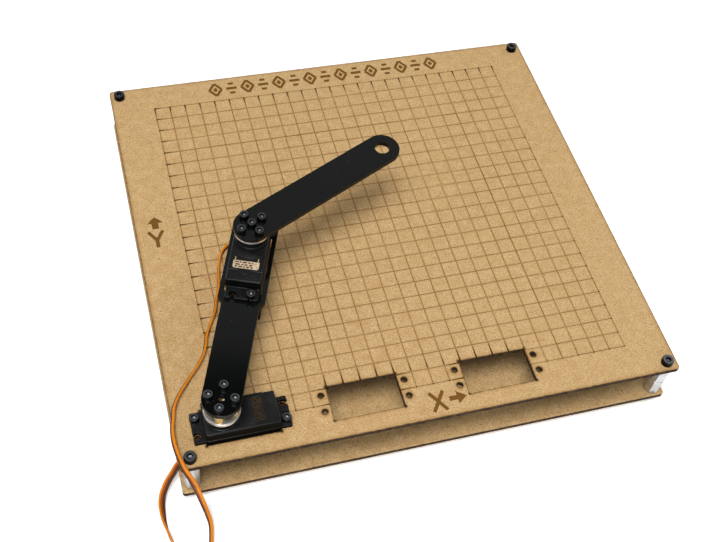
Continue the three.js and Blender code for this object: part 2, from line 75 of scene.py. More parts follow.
MM = 0.001
SHEET = 3.0  # thickness of the decks and links
DECK_Z = 37.2  # drawing surface
DECK_UNDERSIDE_Z = DECK_Z - SHEET
GRID_ZERO = (-119.75, -119.45)
GRID_STEP, GRID_CELLS, GRID_SPAN = 10.0, 24, 240.0
SHOULDER = (-120.65, -119.45)
SHOULDER_HEADING = radians(69.15)
ELBOW = (-85.627, -27.494)
ELBOW_BEND = radians(-43.55)
LINK_1_RISE = 30.0  # link 1's top above the deck
LINK_1_TOP_Z = DECK_Z + LINK_1_RISE
HORN_DISC_Z, HORN_TOP_Z = 16.6, 19.0  # above the servo's ears


def add_object(name, data):
    made = bpy.data.objects.new(name, data)
    bpy.context.scene.collection.objects.link(made)
    return made


# ---- camera ----

CAMERA_PLACE = (-164.452, -384.819, 555.642)
CAMERA_RIGHT = (0.960763, -0.262072, 0.090841)
CAMERA_UP = (0.162208, 0.796541, 0.582418)
CAMERA_BACK = (-0.224994, -0.544831, 0.807797)


def make_camera():
    data = bpy.data.cameras.new("camera")
    data.lens, data.sensor_width = 52.91, 36
    camera = add_object("camera", data)
    turn = Matrix((CAMERA_RIGHT, CAMERA_UP, CAMERA_BACK)).transposed().to_4x4()
    camera.matrix_world = Matrix.Translation(Vector(CAMERA_PLACE) * MM) @ turn
    bpy.context.scene.camera = camera


make_camera()

# ---- materials ----


def linear(code):
    """A linear colour from an sRGB hex code."""
    parts = [int(code[i : i + 2], 16) / 255 for i in (0, 2, 4)]
    return tuple(c / 12.92 if c <= 0.04045 else ((c + 0.055) / 1.055) ** 2.4 for c in parts) + (1,)


class Graph:
    """A material and the nodes that feed its shader."""

    def __init__(self, name, **shader):
        self.material = bpy.data.materials.new(name)
        self.material.use_nodes = True
        self.tree = self.material.node_tree
        self.shader = self.tree.nodes["Principled BSDF"]
        for socket, value in shader.items():
            self.shader.inputs[socket.replace("_", " ")].default_value = value
        coordinates = self.tree.nodes.new("ShaderNodeTexCoord")
        self.place = coordinates.outputs["Object"]
        self.normal = coordinates.outputs["Normal"]

    def feed(self, socket, value):
        if isinstance(value, bpy.types.NodeSocket):
            self.tree.links.new(value, socket)
        else:
            socket.default_value = value

    def add(self, kind, inputs, **settings):
        node = self.tree.nodes.new("ShaderNode" + kind)
        for name, value in settings.items():
            setattr(node, name, value)
        for key, value in inputs.items():
            self.feed(node.inputs[key], value)
        return node

    def noise(self, scale, detail=2.0, roughness=0.5, stretch=None):
        where = self.place
        if stretch:
            where = self.vector("MULTIPLY", where, stretch)
        inputs = {"Vector": where, "Scale": scale, "Detail": detail, "Roughness": roughness}
        return self.add("TexNoise", inputs).outputs["Fac"]

    def vector(self, operation, a, b=(0, 0, 0), output="Vector"):
        return self.add("VectorMath", {0: a, 1: b}, operation=operation).outputs[output]

    def math(self, operation, a, b=0.0, clamp=False):
        return self.add("Math", {0: a, 1: b}, operation=operation, use_clamp=clamp).outputs[0]

    def times(self, a, b, clamp=False):
        return self.math("MULTIPLY", a, b, clamp)

    def minus(self, a, b):
        return self.math("SUBTRACT", a, b)

    def size(self, value):
        return self.math("ABSOLUTE", value)

    def length(self, vector):
        return self.vector("LENGTH", vector, output="Value")

    def spread(self, value, low, high, out_low=0.0, out_high=1.0):
        """value's stretch from low to high, mapped to another and held at its ends."""
        inputs = {"Value": value, "From Min": low, "From Max": high}
        inputs |= {"To Min": out_low, "To Max": out_high}
        return self.add("MapRange", inputs).outputs["Result"]

    def part(self, vector, axis):
        return self.add("SeparateXYZ", {0: vector}).outputs[axis]

    def level(self):
        """1 on level faces and 0 on upright ones."""
        return self.size(self.part(self.normal, "Z"))

    def least(self, values):
        result = values[0]
        for value in values[1:]:
            result = self.math("MINIMUM", result, value)
        return result

    def mix(self, share, a, b):
        """a turned into b by share; each is a socket or an sRGB hex code."""
        a, b = (linear(each) if isinstance(each, str) else each for each in (a, b))
        return self.add("Mix", {0: share, 6: a, 7: b}, data_type="RGBA").outputs[2]

    def bump(self, height, distance, strength):
        inputs = {"Height": height, "Distance": distance, "Strength": strength}
        return self.add("Bump", inputs).outputs["Normal"]

    def finish(self, colour, roughness, bump=None):
        sockets = (("Base Color", colour), ("Roughness", roughness), ("Normal", bump))
        for name, value in sockets:
            if value is not None:
                self.feed(self.shader.inputs[name], value)
        return self.material


BAY_X = (80.0, 159.1)
BAY_Y, BAY_SCREW_Y = 0.2, 0.9
BAY_WIDTH, BAY_DEPTH = 41.0, 21.6
EAR_HOLE_SPREAD, EAR_HOLE_Y, SCREW_HOLE_RADIUS = 24.4, 5.1, 1.8
SERVO_BAY_X = SHOULDER[0] + 10.1
BOARD_HALF = (147.0, 141.0)


def bay_boxes():
    """(centre x, centre y, half width, half depth) of each bay, in the row frame."""
    y = GRID_ZERO[1] + BAY_Y
    spare = [(GRID_ZERO[0] + x, y, BAY_WIDTH / 2, BAY_DEPTH / 2) for x in BAY_X]
    return spare + [(SERVO_BAY_X, y, BAY_WIDTH / 2, BAY_DEPTH / 2)]


def bay_holes():
    """Centres of the screw holes beside the bays."""
    centres = [(GRID_ZERO[0] + x, GRID_ZERO[1] + BAY_SCREW_Y) for x in BAY_X]
    centres.append((SHOULDER[0] + 10.0, SHOULDER[1]))
    sides = [(sx * EAR_HOLE_SPREAD, sy * EAR_HOLE_Y) for sx in (-1, 1) for sy in (-1, 1)]
    return [(x + dx, y + dy) for x, y in centres for dx, dy in sides]


def browned_edges(graph, colour, flat):
    """Smoke stains beside the deck's rim, bays and screw holes, darkest in the bays' corners."""
    reach = [graph.minus(half, graph.size(graph.part(flat, k))) for half, k in zip(BOARD_HALF, "XY")]
    corners = []
    for x, y, half_x, half_y in bay_boxes():
        offset = graph.vector("ABSOLUTE", graph.vector("SUBTRACT", flat, (x, y, 0)))
        corner = graph.vector("SUBTRACT", offset, (half_x, half_y, 0))
        reach.append(graph.length(graph.vector("MAXIMUM", corner)))
        corners.append(graph.length(corner))
    for x, y in bay_holes():
        away = graph.length(graph.vector("SUBTRACT", flat, (x, y, 0)))
        reach.append(graph.minus(away, SCREW_HOLE_RADIUS))
    distance = graph.math("ADD", graph.least(reach), graph.times(graph.noise(300, 2), -1.2))
    colour = graph.mix(graph.spread(distance, -0.6, 1.7, 0.5, 0.0), colour, "8f6631")
    colour = graph.mix(graph.spread(distance, -0.6, 0.1, 0.8, 0.0), colour, "3a2512")
    return graph.mix(graph.spread(graph.least(corners), 0.5, 1.4, 0.9, 0.0), colour, "241508")


def engraved_lines(graph, colour, flat, depth):
    """Burnt grid lines, uneven along their length and darkest where the laser set off."""
    middle, half_step = GRID_SPAN / 2, (GRID_STEP / 2, GRID_STEP / 2, 0)
    board = graph.vector("SUBTRACT", flat, (*GRID_ZERO, 0))
    shifted = graph.vector("ABSOLUTE", graph.vector("SUBTRACT", board, (middle, middle, 0)))
    within = [graph.spread(graph.part(shifted, k), middle + 0.4, middle + 1.0, 1.0, 0.0) for k in "XY"]
    in_grid = graph.times(*within)
    wrapped = graph.vector("WRAP", graph.vector("ADD", board, half_step), (GRID_STEP,) * 3)
    from_line = graph.vector("ABSOLUTE", graph.vector("SUBTRACT", wrapped, half_step))
    off_x, off_y = (graph.part(from_line, k) for k in "XY")
    board_x, board_y = (graph.part(board, k) for k in "XY")
    haze = graph.spread(graph.math("MINIMUM", off_x, off_y), 0.1, 1.1, 0.34, 0.0)
    colour = graph.mix(graph.times(haze, in_grid), colour, "8a6431")
    uneven = graph.spread(graph.noise(24, 4, 0.65), 0.32, 0.66, 0.4, 1.15)
    faded = graph.times(in_grid, graph.minus(1.0, uneven))
    share = graph.times(graph.spread(depth, 0.01, 0.09), graph.minus(1.0, faded), clamp=True)
    colour = graph.mix(share, colour, "704c20")
    behind_bays = graph.spread(graph.size(graph.minus(board_x, middle - 0.5)), 60, 61.5, 0.8, 0.0)
    starts = (
        (off_y, board_x, graph.spread(board_y, 15, 16)),
        (off_x, graph.minus(GRID_SPAN, board_y), 1.0),
        (off_x, graph.minus(board_y, BAY_Y + BAY_DEPTH / 2), behind_bays),
    )
    for across, along, strength in starts:
        slack = graph.minus(across, graph.spread(along, 0.0, 7.0, 0.6, 0.05))
        wedge = graph.times(graph.spread(slack, -0.2, 0.15, 0.85, 0.0), graph.spread(along, 5, 8, 1, 0))
        wedge = graph.times(wedge, graph.spread(along, -0.4, 0.0))
        wedge = graph.times(graph.times(wedge, strength), in_grid)
        colour = graph.mix(wedge, colour, "2e1a0a")
    return colour


def fibreboard(name, cut_features):
    """Pressed wood fibre, scorched where the laser cut it and browned beside each cut."""
    graph = Graph(name, Specular_IOR_Level=0.1)
    cloud = graph.noise(9, 3)
    blotch = graph.noise(160, 4, 0.6)
    fibre = graph.noise(1100, 3, 0.7)
    speck = graph.spread(graph.noise(620, 2, 0.7), 0.60, 0.74)
    colour = graph.mix(graph.spread(blotch, 0.3, 0.7), "bd9967", "d0af80")
    colour = graph.mix(graph.spread(cloud, 0.35, 0.7, 0.0, 0.35), colour, "cdae7e")
    colour = graph.mix(graph.spread(fibre, 0.40, 0.64, 0.0, 0.6), colour, "876a3f")
    colour = graph.mix(graph.times(speck, 0.6), colour, "5e3f1c")
    if cut_features:
        place = graph.vector("SCALE", graph.place)
        place.node.inputs["Scale"].default_value = 1 / MM
        flat = graph.vector("MULTIPLY", place, (1, 1, 0))
        depth = graph.minus(DECK_Z, graph.part(place, "Z"))
        colour = browned_edges(graph, colour, flat)
        colour = engraved_lines(graph, colour, flat, depth)
        colour = graph.mix(graph.spread(depth, 0.24, 0.4), colour, "2a1709")
    streak = graph.noise(450, 2, 0.6, stretch=(1, 1, 0.12))
    scorched = graph.mix(graph.spread(streak, 0.3, 0.72), "1c120a", "4a3826")
    colour = graph.mix(graph.spread(graph.minus(1.0, graph.level()), 0.5, 0.9), colour, scorched)
    height = graph.math("ADD", fibre, graph.times(blotch, 0.6))
    rough = graph.spread(fibre, 0.2, 0.8, 0.72, 0.9)
    return graph.finish(colour, rough, graph.bump(height, 0.00012, 0.55))


def black_acrylic(name):
    """Cast black sheet: glossy, with hairline scratches and a little dust."""
    graph = Graph(name, IOR=1.49)
    scratches = [
        graph.spread(graph.noise(scale, 5, 0.7, stretch=stretch), 0.66, 0.74)
        for scale, stretch in ((90, (14, 1, 1)), (110, (1, 16, 1)))
    ]
    haze = graph.noise(30, 3)
    dust = graph.spread(graph.noise(900, 1, 0.5), 0.775, 0.79)
    colour = graph.mix(graph.spread(haze, 0.3, 0.7), "060707", "0a0b0b")
    colour = graph.mix(graph.times(dust, 0.25), colour, "8b857a")
    lines = graph.math("MAXIMUM", *scratches)
    upright = graph.spread(graph.level(), 0.3, 0.9, 1.0, 0.0)
    rough = graph.math("ADD", graph.spread(haze, 0.3, 0.7, 0.06, 0.1), graph.times(lines, 0.12))
    rough = graph.math("ADD", rough, graph.times(upright, 0.3))
    graph.feed(graph.shader.inputs["Specular IOR Level"], graph.spread(upright, 0.0, 1.0, 0.5, 0.16))
    return graph.finish(colour, rough, graph.bump(graph.times(lines, -1.0), 0.00001, 0.3))


def moulded_plastic(name, dark, light, rough, grain=0.00003):
    """Moulded plastic with a fine spark-eroded grain, duller on its upright walls."""
    graph = Graph(name)
    shine = graph.spread(graph.level(), 0.1, 0.6, 0.02, 0.5)
    graph.feed(graph.shader.inputs["Specular IOR Level"], shine)
    wear = graph.noise(120, 4, 0.6)
    colour = graph.mix(graph.spread(wear, 0.35, 0.7), dark, light)
    roughness = graph.spread(wear, 0.3, 0.7, *rough)
    return graph.finish(colour, roughness, graph.bump(graph.noise(2600, 2, 0.6), grain, 0.6))


def metal(name, dark, light, rough, stretch=None, scale=400.0, side=None):
    """Turned or drawn metal: fine tool marks and faint staining. Given side, upright faces take that colour
    and level faces keep the lighter colours as a painted reflection.
    """
    graph = Graph(name, Metallic=1.0)
    marks = graph.noise(scale, 3, 0.6, stretch=stretch)
    stain = graph.noise(90, 4, 0.6)
    colour = graph.mix(graph.spread(stain, 0.35, 0.7), dark, light)
    # Painted reflection: level faces keep the lighter colours and upright faces turn to side.
    if side:
        colour = graph.mix(graph.spread(graph.level(), 0.5, 0.95, 1.0, 0.0), colour, side)
    roughness = graph.spread(stain, 0.3, 0.7, *rough)
    roughness = graph.math("ADD", roughness, graph.spread(marks, 0.3, 0.7, -0.04, 0.05))
    return graph.finish(colour, roughness, graph.bump(marks, 0.000008, 0.5))


def turned_metal(name, dark, light, rough):
    """Metal faced on a lathe, with rings round its own Z axis."""
    graph = Graph(name, Metallic=1.0)
    radius = graph.length(graph.vector("MULTIPLY", graph.place, (1, 1, 0)))
    inputs = {"W": graph.times(radius, 9000.0), "Scale": 1.0, "Detail": 2.0}
    rings = graph.add("TexNoise", inputs, noise_dimensions="1D")
    stain = graph.noise(150, 4, 0.6)
    colour = graph.mix(graph.spread(stain, 0.35, 0.7), dark, light)
    roughness = graph.spread(stain, 0.3, 0.7, *rough)
    return graph.finish(colour, roughness, graph.bump(rings.outputs["Fac"], 0.000006, 0.6))


def printed_foil(name, dark, light, print_colour):
    """Metal foil with a crumpled shimmer and worn print."""
    graph = Graph(name, Metallic=0.45)
    crumple = graph.noise(900, 3, 0.7)
    worn = graph.spread(graph.noise(1300, 2, 0.6), 0.52, 0.62)
    colour = graph.mix(graph.spread(crumple, 0.3, 0.7), dark, light)
    colour = graph.mix(graph.times(worn, 0.45), colour, print_colour)
    roughness = graph.spread(crumple, 0.3, 0.7, 0.3, 0.45)
    return graph.finish(colour, roughness, graph.bump(crumple, 0.00004, 0.6))


def wire_sheath(name, dark, light):
    """Soft vinyl over stranded wire: a faint lay of the strands shows through."""
    graph = Graph(name, Specular_IOR_Level=0.22)
    lay = graph.noise(500, 3, 0.6)
    grime = graph.noise(60, 4, 0.6)
    colour = graph.mix(graph.spread(grime, 0.3, 0.7), dark, light)
    return graph.finish(colour, graph.spread(lay, 0.3, 0.7, 0.34, 0.46), graph.bump(lay, 0.00005, 0.5))


def circuit_board(name):
    """Green solder mask with faint copper runs."""
    graph = Graph(name, Specular_IOR_Level=0.5)
    runs = graph.noise(500, 1, 0.5, stretch=(1, 0.15, 1))
    colour = graph.mix(graph.spread(runs, 0.45, 0.55), "14482c", "2a6f47")
    return graph.finish(colour, graph.spread(runs, 0.3, 0.7, 0.3, 0.45), graph.bump(runs, 0.00005, 0.4))


DECK = fibreboard("engraved_fibreboard", True)
FIBREBOARD = fibreboard("plain_fibreboard", False)
ACRYLIC = black_acrylic("black_acrylic")
CASE = moulded_plastic("servo_case_plastic", "070708", "0c0d0e", (0.3, 0.4))
HOUSING = moulded_plastic("plug_housing_plastic", "131313", "1c1c1c", (0.4, 0.5))
RUBBER = moulded_plastic("soft_grommet", "141414", "202020", (0.6, 0.75))
BLACK_PRINT = moulded_plastic("label_black", "0b0a09", "15120e", (0.3, 0.45), 0.00001)
# Black oxide is near black all over: the grey of its level faces is a painted reflection, and side is its
# own colour.
OXIDE_PAINTED_SHEEN = metal("black_oxide_steel_painted_sheen", "55575a", "6c6e71", (0.36, 0.46), scale=900, side="141516")
ALUMINIUM = turned_metal("turned_aluminium", "d2d3d4", "ececec", (0.34, 0.44))
POST_ALUMINIUM = metal("drawn_aluminium", "b4b6b8", "d4d5d6", (0.3, 0.42), stretch=(6, 6, 0.4))
BRASS = metal("drawn_brass", "c4a060", "e0c48c", (0.28, 0.4), stretch=(5, 5, 0.5))
STEEL = metal("machined_steel", "8d8f93", "b4b6b9", (0.28, 0.4))
ZINC = metal("zinc_plated_steel", "a7a9ab", "cfd0d1", (0.26, 0.38), scale=700)
BOARD_GREEN = circuit_board("circuit_board")
BRIGHT_FOIL = printed_foil("label_foil", "d8b384", "fbeacb", "5c3c1e")
# Painted shade: a dark copy of the same gold foil, for the label that faces the dark part of the studio.
DARK_FOIL_PAINTED_SHADE = printed_foil("label_foil_painted_shade", "17110a", "4d3a20", "050403")
WIRES = [
    wire_sheath("orange_wire", "c97208", "d88313"),
    wire_sheath("red_wire", "7d3408", "8d400e"),
    wire_sheath("brown_wire", "3f2008", "4f2b0c"),
]

# ---- mesh helpers ----


def stack(rings, capped=True):
    """Walls between rings of equally many points, counter-clockwise seen from the last ring."""
    count = len(rings[0])
    points = [tuple(p) for ring in rings for p in ring]
    faces = []
    for k in range(len(rings) - 1):
        low, high = k * count, (k + 1) * count
        for i in range(count):
            j = (i + 1) % count
            faces.append((low + i, low + j, high + j, high + i))
    if capped:
        faces.append(tuple(reversed(range(count))))
        faces.append(tuple(range(len(points) - count, len(points))))
    return points, faces


def combine(*solids):
    points, faces = [], []
    for solid_points, solid_faces in solids:
        start = len(points)
        points += solid_points
        faces += [tuple(start + i for i in face) for face in solid_faces]
    return points, faces


def circle(radius, count=48, x=0.0, y=0.0):
    steps = (2 * pi * i / count for i in range(count))
    return [(x + radius * cos(a), y + radius * sin(a)) for a in steps]


def arc(x, y, radius, start, end, count):
    """Points on an arc, its angles in degrees."""
    steps = (radians(start + (end - start) * i / count) for i in range(count + 1))
    return [(x + radius * cos(a), y + radius * sin(a)) for a in steps]


def box_outline(x0, x1, y0, y1, radius=0.0, count=4):
    if not radius:
        return [(x0, y0), (x1, y0), (x1, y1), (x0, y1)]
    corners = ((x1, y0, -90), (x1, y1, 0), (x0, y1, 90), (x0, y0, 180))
    middle = ((x0 + x1) / 2, (y0 + y1) / 2)
    outline = []
    for x, y, start in corners:
        centre = (x - copysign(radius, x - middle[0]), y - copysign(radius, y - middle[1]))
        outline += arc(*centre, radius, start, start + 90, count)
    return outline


def inset(loop, amount):
    """A closed outline moved inwards, for one that runs counter-clockwise."""
    moved = []
    for i, point in enumerate(loop):
        before, after = Vector(loop[i - 1]), Vector(loop[(i + 1) % len(loop)])
        here = Vector(point)
        a, b = (here - before).normalized(), (after - here).normalized()
        normal_a, normal_b = Vector((-a.y, a.x)), Vector((-b.y, b.x))
        middle = (normal_a + normal_b).normalized()
        moved.append(tuple(here + middle * amount / max(0.5, middle.dot(normal_a))))
    return moved


def counter_clockwise(outline):
    area = sum(a[0] * b[1] - b[0] * a[1] for a, b in zip(outline, outline[1:] + outline[:1]))
    return outline if area > 0 else outline[::-1]


def prism(outline, z0, z1, holes=(), chamfer=0.0):
    """An upright plate with its edges broken by a small chamfer; holes run counter-clockwise too."""
    loops = [list(outline)] + [list(reversed(hole)) for hole in holes]
    points, faces, caps = [], [], {0: [], 1: []}
    for loop in loops:
        count = len(loop)
        small = inset(loop, chamfer) if chamfer else loop
        levels = [(z0, small), (z0 + chamfer, loop), (z1 - chamfer, loop), (z1, small)]
        if not chamfer:
            levels = [levels[0], levels[-1]]
        start = len(points)
        for z, ring in levels:
            points += [(x, y, z) for x, y in ring]
        for k in range(len(levels) - 1):
            low, high = start + k * count, start + (k + 1) * count
            for i in range(count):
                j = (i + 1) % count
                faces.append((low + i, low + j, high + j, high + i))
        caps[0].append(range(start, start + count))
        caps[1].append(range(len(points) - count, len(points)))
    for side, rings in caps.items():
        flat = [[Vector((points[i][0], points[i][1], 0)) for i in ring] for ring in rings]
        order = [i for ring in rings for i in ring]
        for a, b, c in tessellate_polygon(flat):
            a, b, c = order[a], order[b], order[c]
            area = (points[b][0] - points[a][0]) * (points[c][1] - points[a][1])
            area -= (points[c][0] - points[a][0]) * (points[b][1] - points[a][1])
            if (area > 0) != (side == 1):
                b, c = c, b
            faces.append((a, b, c))
    return points, faces


def place_at(x, y, z=0.0, heading=0.0):
    """Where a piece's own frame sits, as a matrix in metres."""
    return Matrix.Translation(Vector((x, y, z)) * MM) @ Matrix.Rotation(heading, 4, "Z")


HERE = Matrix.Identity(4)


def make_piece(name, solid, material, body, place=HERE, slot=None, replaces=(), smooth=None):
    """A piece of the object. material is one, or (materials, a material number for each face)."""
    points, faces = solid
    mesh = bpy.data.meshes.new(name)
    mesh.from_pydata([Vector(p) * MM for p in points], [], faces)
    materials, numbers = material if isinstance(material, tuple) else ([material], None)
    for each in materials:
        mesh.materials.append(each)
    if numbers:
        mesh.polygons.foreach_set("material_index", numbers)
    if smooth:
        mesh.shade_smooth()
        mesh.set_sharp_from_angle(angle=radians(smooth))
    mesh.update()
    piece = add_object(name, mesh)
    piece.matrix_world = place
    if body:
        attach(piece, body)
    if replaces:
        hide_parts(*replaces)
    return piece


# ---- the servo leads ----

WIRE_RADIUS = 0.65
WIRE_PITCH = 1.3
COIL_CENTRE = (-177.5, -192.0)
COIL_RADIUS, COIL_PITCH, COIL_TURNS, COIL_STEPS = 22.0, 4.2, 1.5, 14
LYING_Z = 2.1  # middle of a lead that stands on edge on the table
RELIEF_HALF, RELIEF_TAPER = (2.55, 1.75), (0.45, 0.85)  # across and upright
RELIEF_POINTS, RELIEF_FOLDS, RELIEF_RIDGE = 26, 14, 0.14
PLUG_STEP_X, PLUG_LENGTH, PLUG_GAP = 6.0, 14.0, 0.3
PLUG_HALF_WIDTH, PLUG_HALF_HEIGHT = 3.8, 1.3
CONTACTS_Y, MOUTH_HALF, WINDOW_HALF = (-2.54, 0, 2.54), 0.55, 0.45


def coil_points():
    """The part of the shoulder lead that is wound up beside the board."""
    points = []
    for step in range(int(COIL_TURNS * COIL_STEPS) + 1):
        turn = step / COIL_STEPS
        radius, angle = COIL_RADIUS - COIL_PITCH * turn, -2 * pi * turn
        x = COIL_CENTRE[0] + radius * cos(angle)
        y = COIL_CENTRE[1] + radius * sin(angle)
        points.append((x, y, LYING_Z))
    return points


SHOULDER_LEAD = [
    (-132.55, -119.45, 14.7), (-134.4, -119.5, 14.7), (-137.3, -120.3, 14.1), (-141.0, -121.6, 12.3),
    (-144.3, -122.8, 10.2), (-147.0, -124.2, 9.2), (-150.3, -127.6, 7.8), (-153.7, -131.0, 6.2),
    (-156.2, -134.4, 4.6), (-157.7, -137.0, 3.4), (-158.8, -140.6, 2.5), (-159.3, -144.6, 2.1),
    (-159.3, -151.7, 2.1), (-158.4, -158.1, 2.1), (-156.9, -164.5, 2.1), (-155.8, -173.5, 2.1),
    (-155.45, -183, 2.1), *coil_points(), (-192.4, -187.6, 2.1), (-189.7, -184.0, 2.1),
    (-185.7, -182.6, 1.8), (-181.5, -183.2, 1.5),
]  # fmt: skip
ELBOW_LEAD = [
    (-81.35, -16.35, 44.7), (-80.65, -14.5, 44.7), (-79.9, -11.9, 44.2), (-80.6, -7.8, 42.6),
    (-84.4, -3.9, 41.0), (-89.4, -1.9, 39.9), (-94.6, -2.4, 39.4), (-99.0, -6.4, 39.3),
    (-102.2, -13.4, 39.3), (-104.4, -22.7, 39.3), (-106.1, -31.9, 39.3), (-109.0, -40.0, 39.3),
    (-111.4, -48.1, 39.3), (-114.7, -54.4, 39.3), (-118.8, -62.6, 39.3), (-121.0, -70.3, 39.3),
    (-123.2, -75.3, 39.3), (-126.9, -81.0, 39.3), (-132.7, -87.7, 39.3), (-136.8, -92.6, 39.3),
    (-140.7, -97.6, 39.3), (-144.5, -104.7, 39.3), (-146.0, -111.3, 39.3), (-147.4, -117.4, 39.5),
    (-147.8, -124.4, 39.6), (-147.1, -131.5, 39.6), (-145.2, -141.0, 39.6), (-142.0, -145.4, 32.2),
    (-139.9, -147.3, 23.2), (-137.9, -150.4, 14.2), (-136.1, -154.7, 6.7), (-135.2, -159.6, 2.6),
    (-136.7, -169.1, 2.1), (-138.6, -180, 2.1), (-138.2, -194, 2.1), (-132, -204.5, 2.1),
    (-120.5, -208.6, 1.8), (-107.6, -208.2, 1.5),
]  # fmt: skip
# How far the ribbon is rolled from standing on edge, in degrees, at shares of its length.
SHOULDER_ROLL = [(0.0, 90), (0.13, 80), (0.2, 0), (0.93, 0), (1.0, 90)]
ELBOW_ROLL = [(0.0, 90), (0.05, 10), (0.08, 0), (0.2, -10), (0.45, -26), (0.8, -30), (0.9, 0), (1.0, 90)]


def smooth_route(route, steps=9):
    """A centripetal Catmull-Rom curve through the route's points."""
    p = [Vector(q) for q in route]
    p = [2 * p[0] - p[1], *p, 2 * p[-1] - p[-2]]
    line = []
    for a, b, c, d in zip(p, p[1:], p[2:], p[3:]):
        gaps = [max(sqrt((v - u).length), 1e-6) for u, v in ((a, b), (b, c), (c, d))]
        tangent_b = ((b - a) / gaps[0] - (c - a) / (gaps[0] + gaps[1]) + (c - b) / gaps[1]) * gaps[1]
        tangent_c = ((c - b) / gaps[1] - (d - b) / (gaps[1] + gaps[2]) + (d - c) / gaps[2]) * gaps[1]
        for i in range(steps):
            t = i / steps
            t2, t3 = t * t, t * t * t
            line.append(
                b * (2 * t3 - 3 * t2 + 1) + tangent_b * (t3 - 2 * t2 + t)
                + c * (3 * t2 - 2 * t3) + tangent_c * (t3 - t2)
            )
    return [*line, p[-2]]


def ribbon_section():
    """The scalloped outline of three bonded wires, and which wire each of its points is on."""
    outline, wires = [], []
    for wire, offset, start, end, count in (
        (0, WIRE_PITCH, -150, 150, 12),
        (1, 0, 60, 120, 2),
        (2, -WIRE_PITCH, 30, 330, 12),
        (1, 0, 240, 300, 2),
    ):
        outline += arc(offset, 0, WIRE_RADIUS, start, end, count)
        wires += [wire] * (count + 1)
    return outline, wires


def sweep(line, section, rolls, shares=None):
    """Rings of a section carried along a line; its first axis stands upright where the roll is 0."""
    rings = []
    lengths = np.concatenate([[0], np.cumsum([(b - a).length for a, b in zip(line, line[1:])])])
    shares = lengths / lengths[-1] if shares is None else shares
    for i, point in enumerate(line):
        along = (line[min(i + 1, len(line) - 1)] - line[max(i - 1, 0)]).normalized()
        up = (Vector((0, 0, 1)) - along * along.z).normalized()
        side = along.cross(up)
        roll = radians(float(np.interp(shares[i], *zip(*rolls))))
        wide = up * cos(roll) + side * sin(roll)
        thick = along.cross(wide)
        outline = section(shares[i]) if callable(section) else section
        rings.append([point + wide * u + thick * v for u, v in outline])
    return rings


def make_lead(node, route, rolls, body):
    """A flat three-wire servo lead, and the line through its middle."""
    line = smooth_route(route)
    outline, wires = ribbon_section()
    points, faces = stack(sweep(line, outline, rolls))
    count = len(outline)
    numbers = [wires[i % count] for i in range(len(faces) - 2)] + [1, 1]
    look = (WIRES, numbers)
    lead = make_piece(f"{node}_ribbon", (points, faces), look, body, HERE, "lead", [node], smooth=50)
    return lead, line


def make_relief(name, line, rolls, body):
    """The soft grommet that tapers from the servo's exit onto the lead."""
    near = line[:RELIEF_POINTS]

    def section(share):
        slim = min(1.0, share * 1.15)
        ridge = RELIEF_RIDGE if int(share * RELIEF_FOLDS) % 2 and share < 0.75 else 0.0
        u, v = (half - taper * slim + ridge for half, taper in zip(RELIEF_HALF, RELIEF_TAPER))
        return box_outline(-u, u, -v, v, 0.6, 3)

    rings = sweep(near, section, rolls, np.linspace(0, 1, len(near)))
    return make_piece(name, stack(rings), RUBBER, body, smooth=40)


def make_plug(name, route, replaced):
    """The three-way socket on a lead's end, with its contacts' windows and open mouths."""
    end, before = Vector(route[-1]), Vector(route[-2])
    heading = atan2(end.y - before.y, end.x - before.x)
    u, v = PLUG_HALF_HEIGHT, PLUG_HALF_WIDTH
    outline = box_outline(-u, u, -v, v, 0.25, 2)
    mouths = [box_outline(-MOUTH_HALF, MOUTH_HALF, y - MOUTH_HALF, y + MOUTH_HALF) for y in CONTACTS_Y]
    front = prism(outline, PLUG_STEP_X, PLUG_LENGTH, mouths, 0.15)
    back = prism(outline, 0.0, PLUG_STEP_X, chamfer=0.12)
    points, faces = combine(front, back)
    points = [(z, y, PLUG_HALF_HEIGHT - x) for x, y, z in points]
    windows = [box_outline(3.2, 5.2, y - WINDOW_HALF, y + WINDOW_HALF) for y in CONTACTS_Y]
    solid = combine((points, faces), *[prism(window, 2.55, 2.62) for window in windows])
    numbers = [0] * len(faces) + [1] * (len(solid[1]) - len(faces))
    x, y = end.x + PLUG_GAP * cos(heading), end.y + PLUG_GAP * sin(heading)
    place = place_at(x, y, 0, heading)
    return make_piece(name, solid, ([HOUSING, ZINC], numbers), "base", place, "plug_housing", [replaced])


def make_tie():
    """A strip round two turns of the coil, where they run side by side."""
    inner = box_outline(-3.0, 3.0, 0.14, 4.12, 0.3, 2)
    outer = box_outline(-3.3, 3.3, 0.02, 4.42, 0.5, 4)
    band = prism(outer, -1.6, 1.6, [inner], 0.04)
    knot = prism(box_outline(-1.3, 1.3, 4.3, 5.5, 0.4, 3), -1.3, 1.3, chamfer=0.2)
    tail = prism(box_outline(1.2, 7.5, 4.75, 5.05, 0.1, 2), -0.9, 0.9, chamfer=0.05)
    points, faces = combine(band, knot, tail)
    points = [(x, -z, y) for x, y, z in points]
    place = place_at(COIL_CENTRE[0] - COIL_RADIUS + COIL_PITCH, COIL_CENTRE[1])
    return make_piece("shoulder_lead_tie", (points, faces), HOUSING, "base", place)


shoulder_lead, shoulder_line = make_lead("shoulder_lead", SHOULDER_LEAD, SHOULDER_ROLL, "base")
shoulder_plug = make_plug("shoulder_lead_socket", SHOULDER_LEAD, "shoulder_lead_plug")
shoulder_relief = make_relief("shoulder_lead_relief", shoulder_line, [(0, 90), (1, 84)], "base")
shoulder_tie = make_tie()
elbow_lead, elbow_line = make_lead("elbow_lead", ELBOW_LEAD, ELBOW_ROLL, None)
elbow_plug = make_plug("elbow_lead_socket", ELBOW_LEAD, "elbow_lead_plug")
elbow_relief = make_relief("elbow_lead_relief", elbow_line, [(0, 90), (1, 60)], "upper_arm")
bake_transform(elbow_lead)

# ---- the engraved deck ----

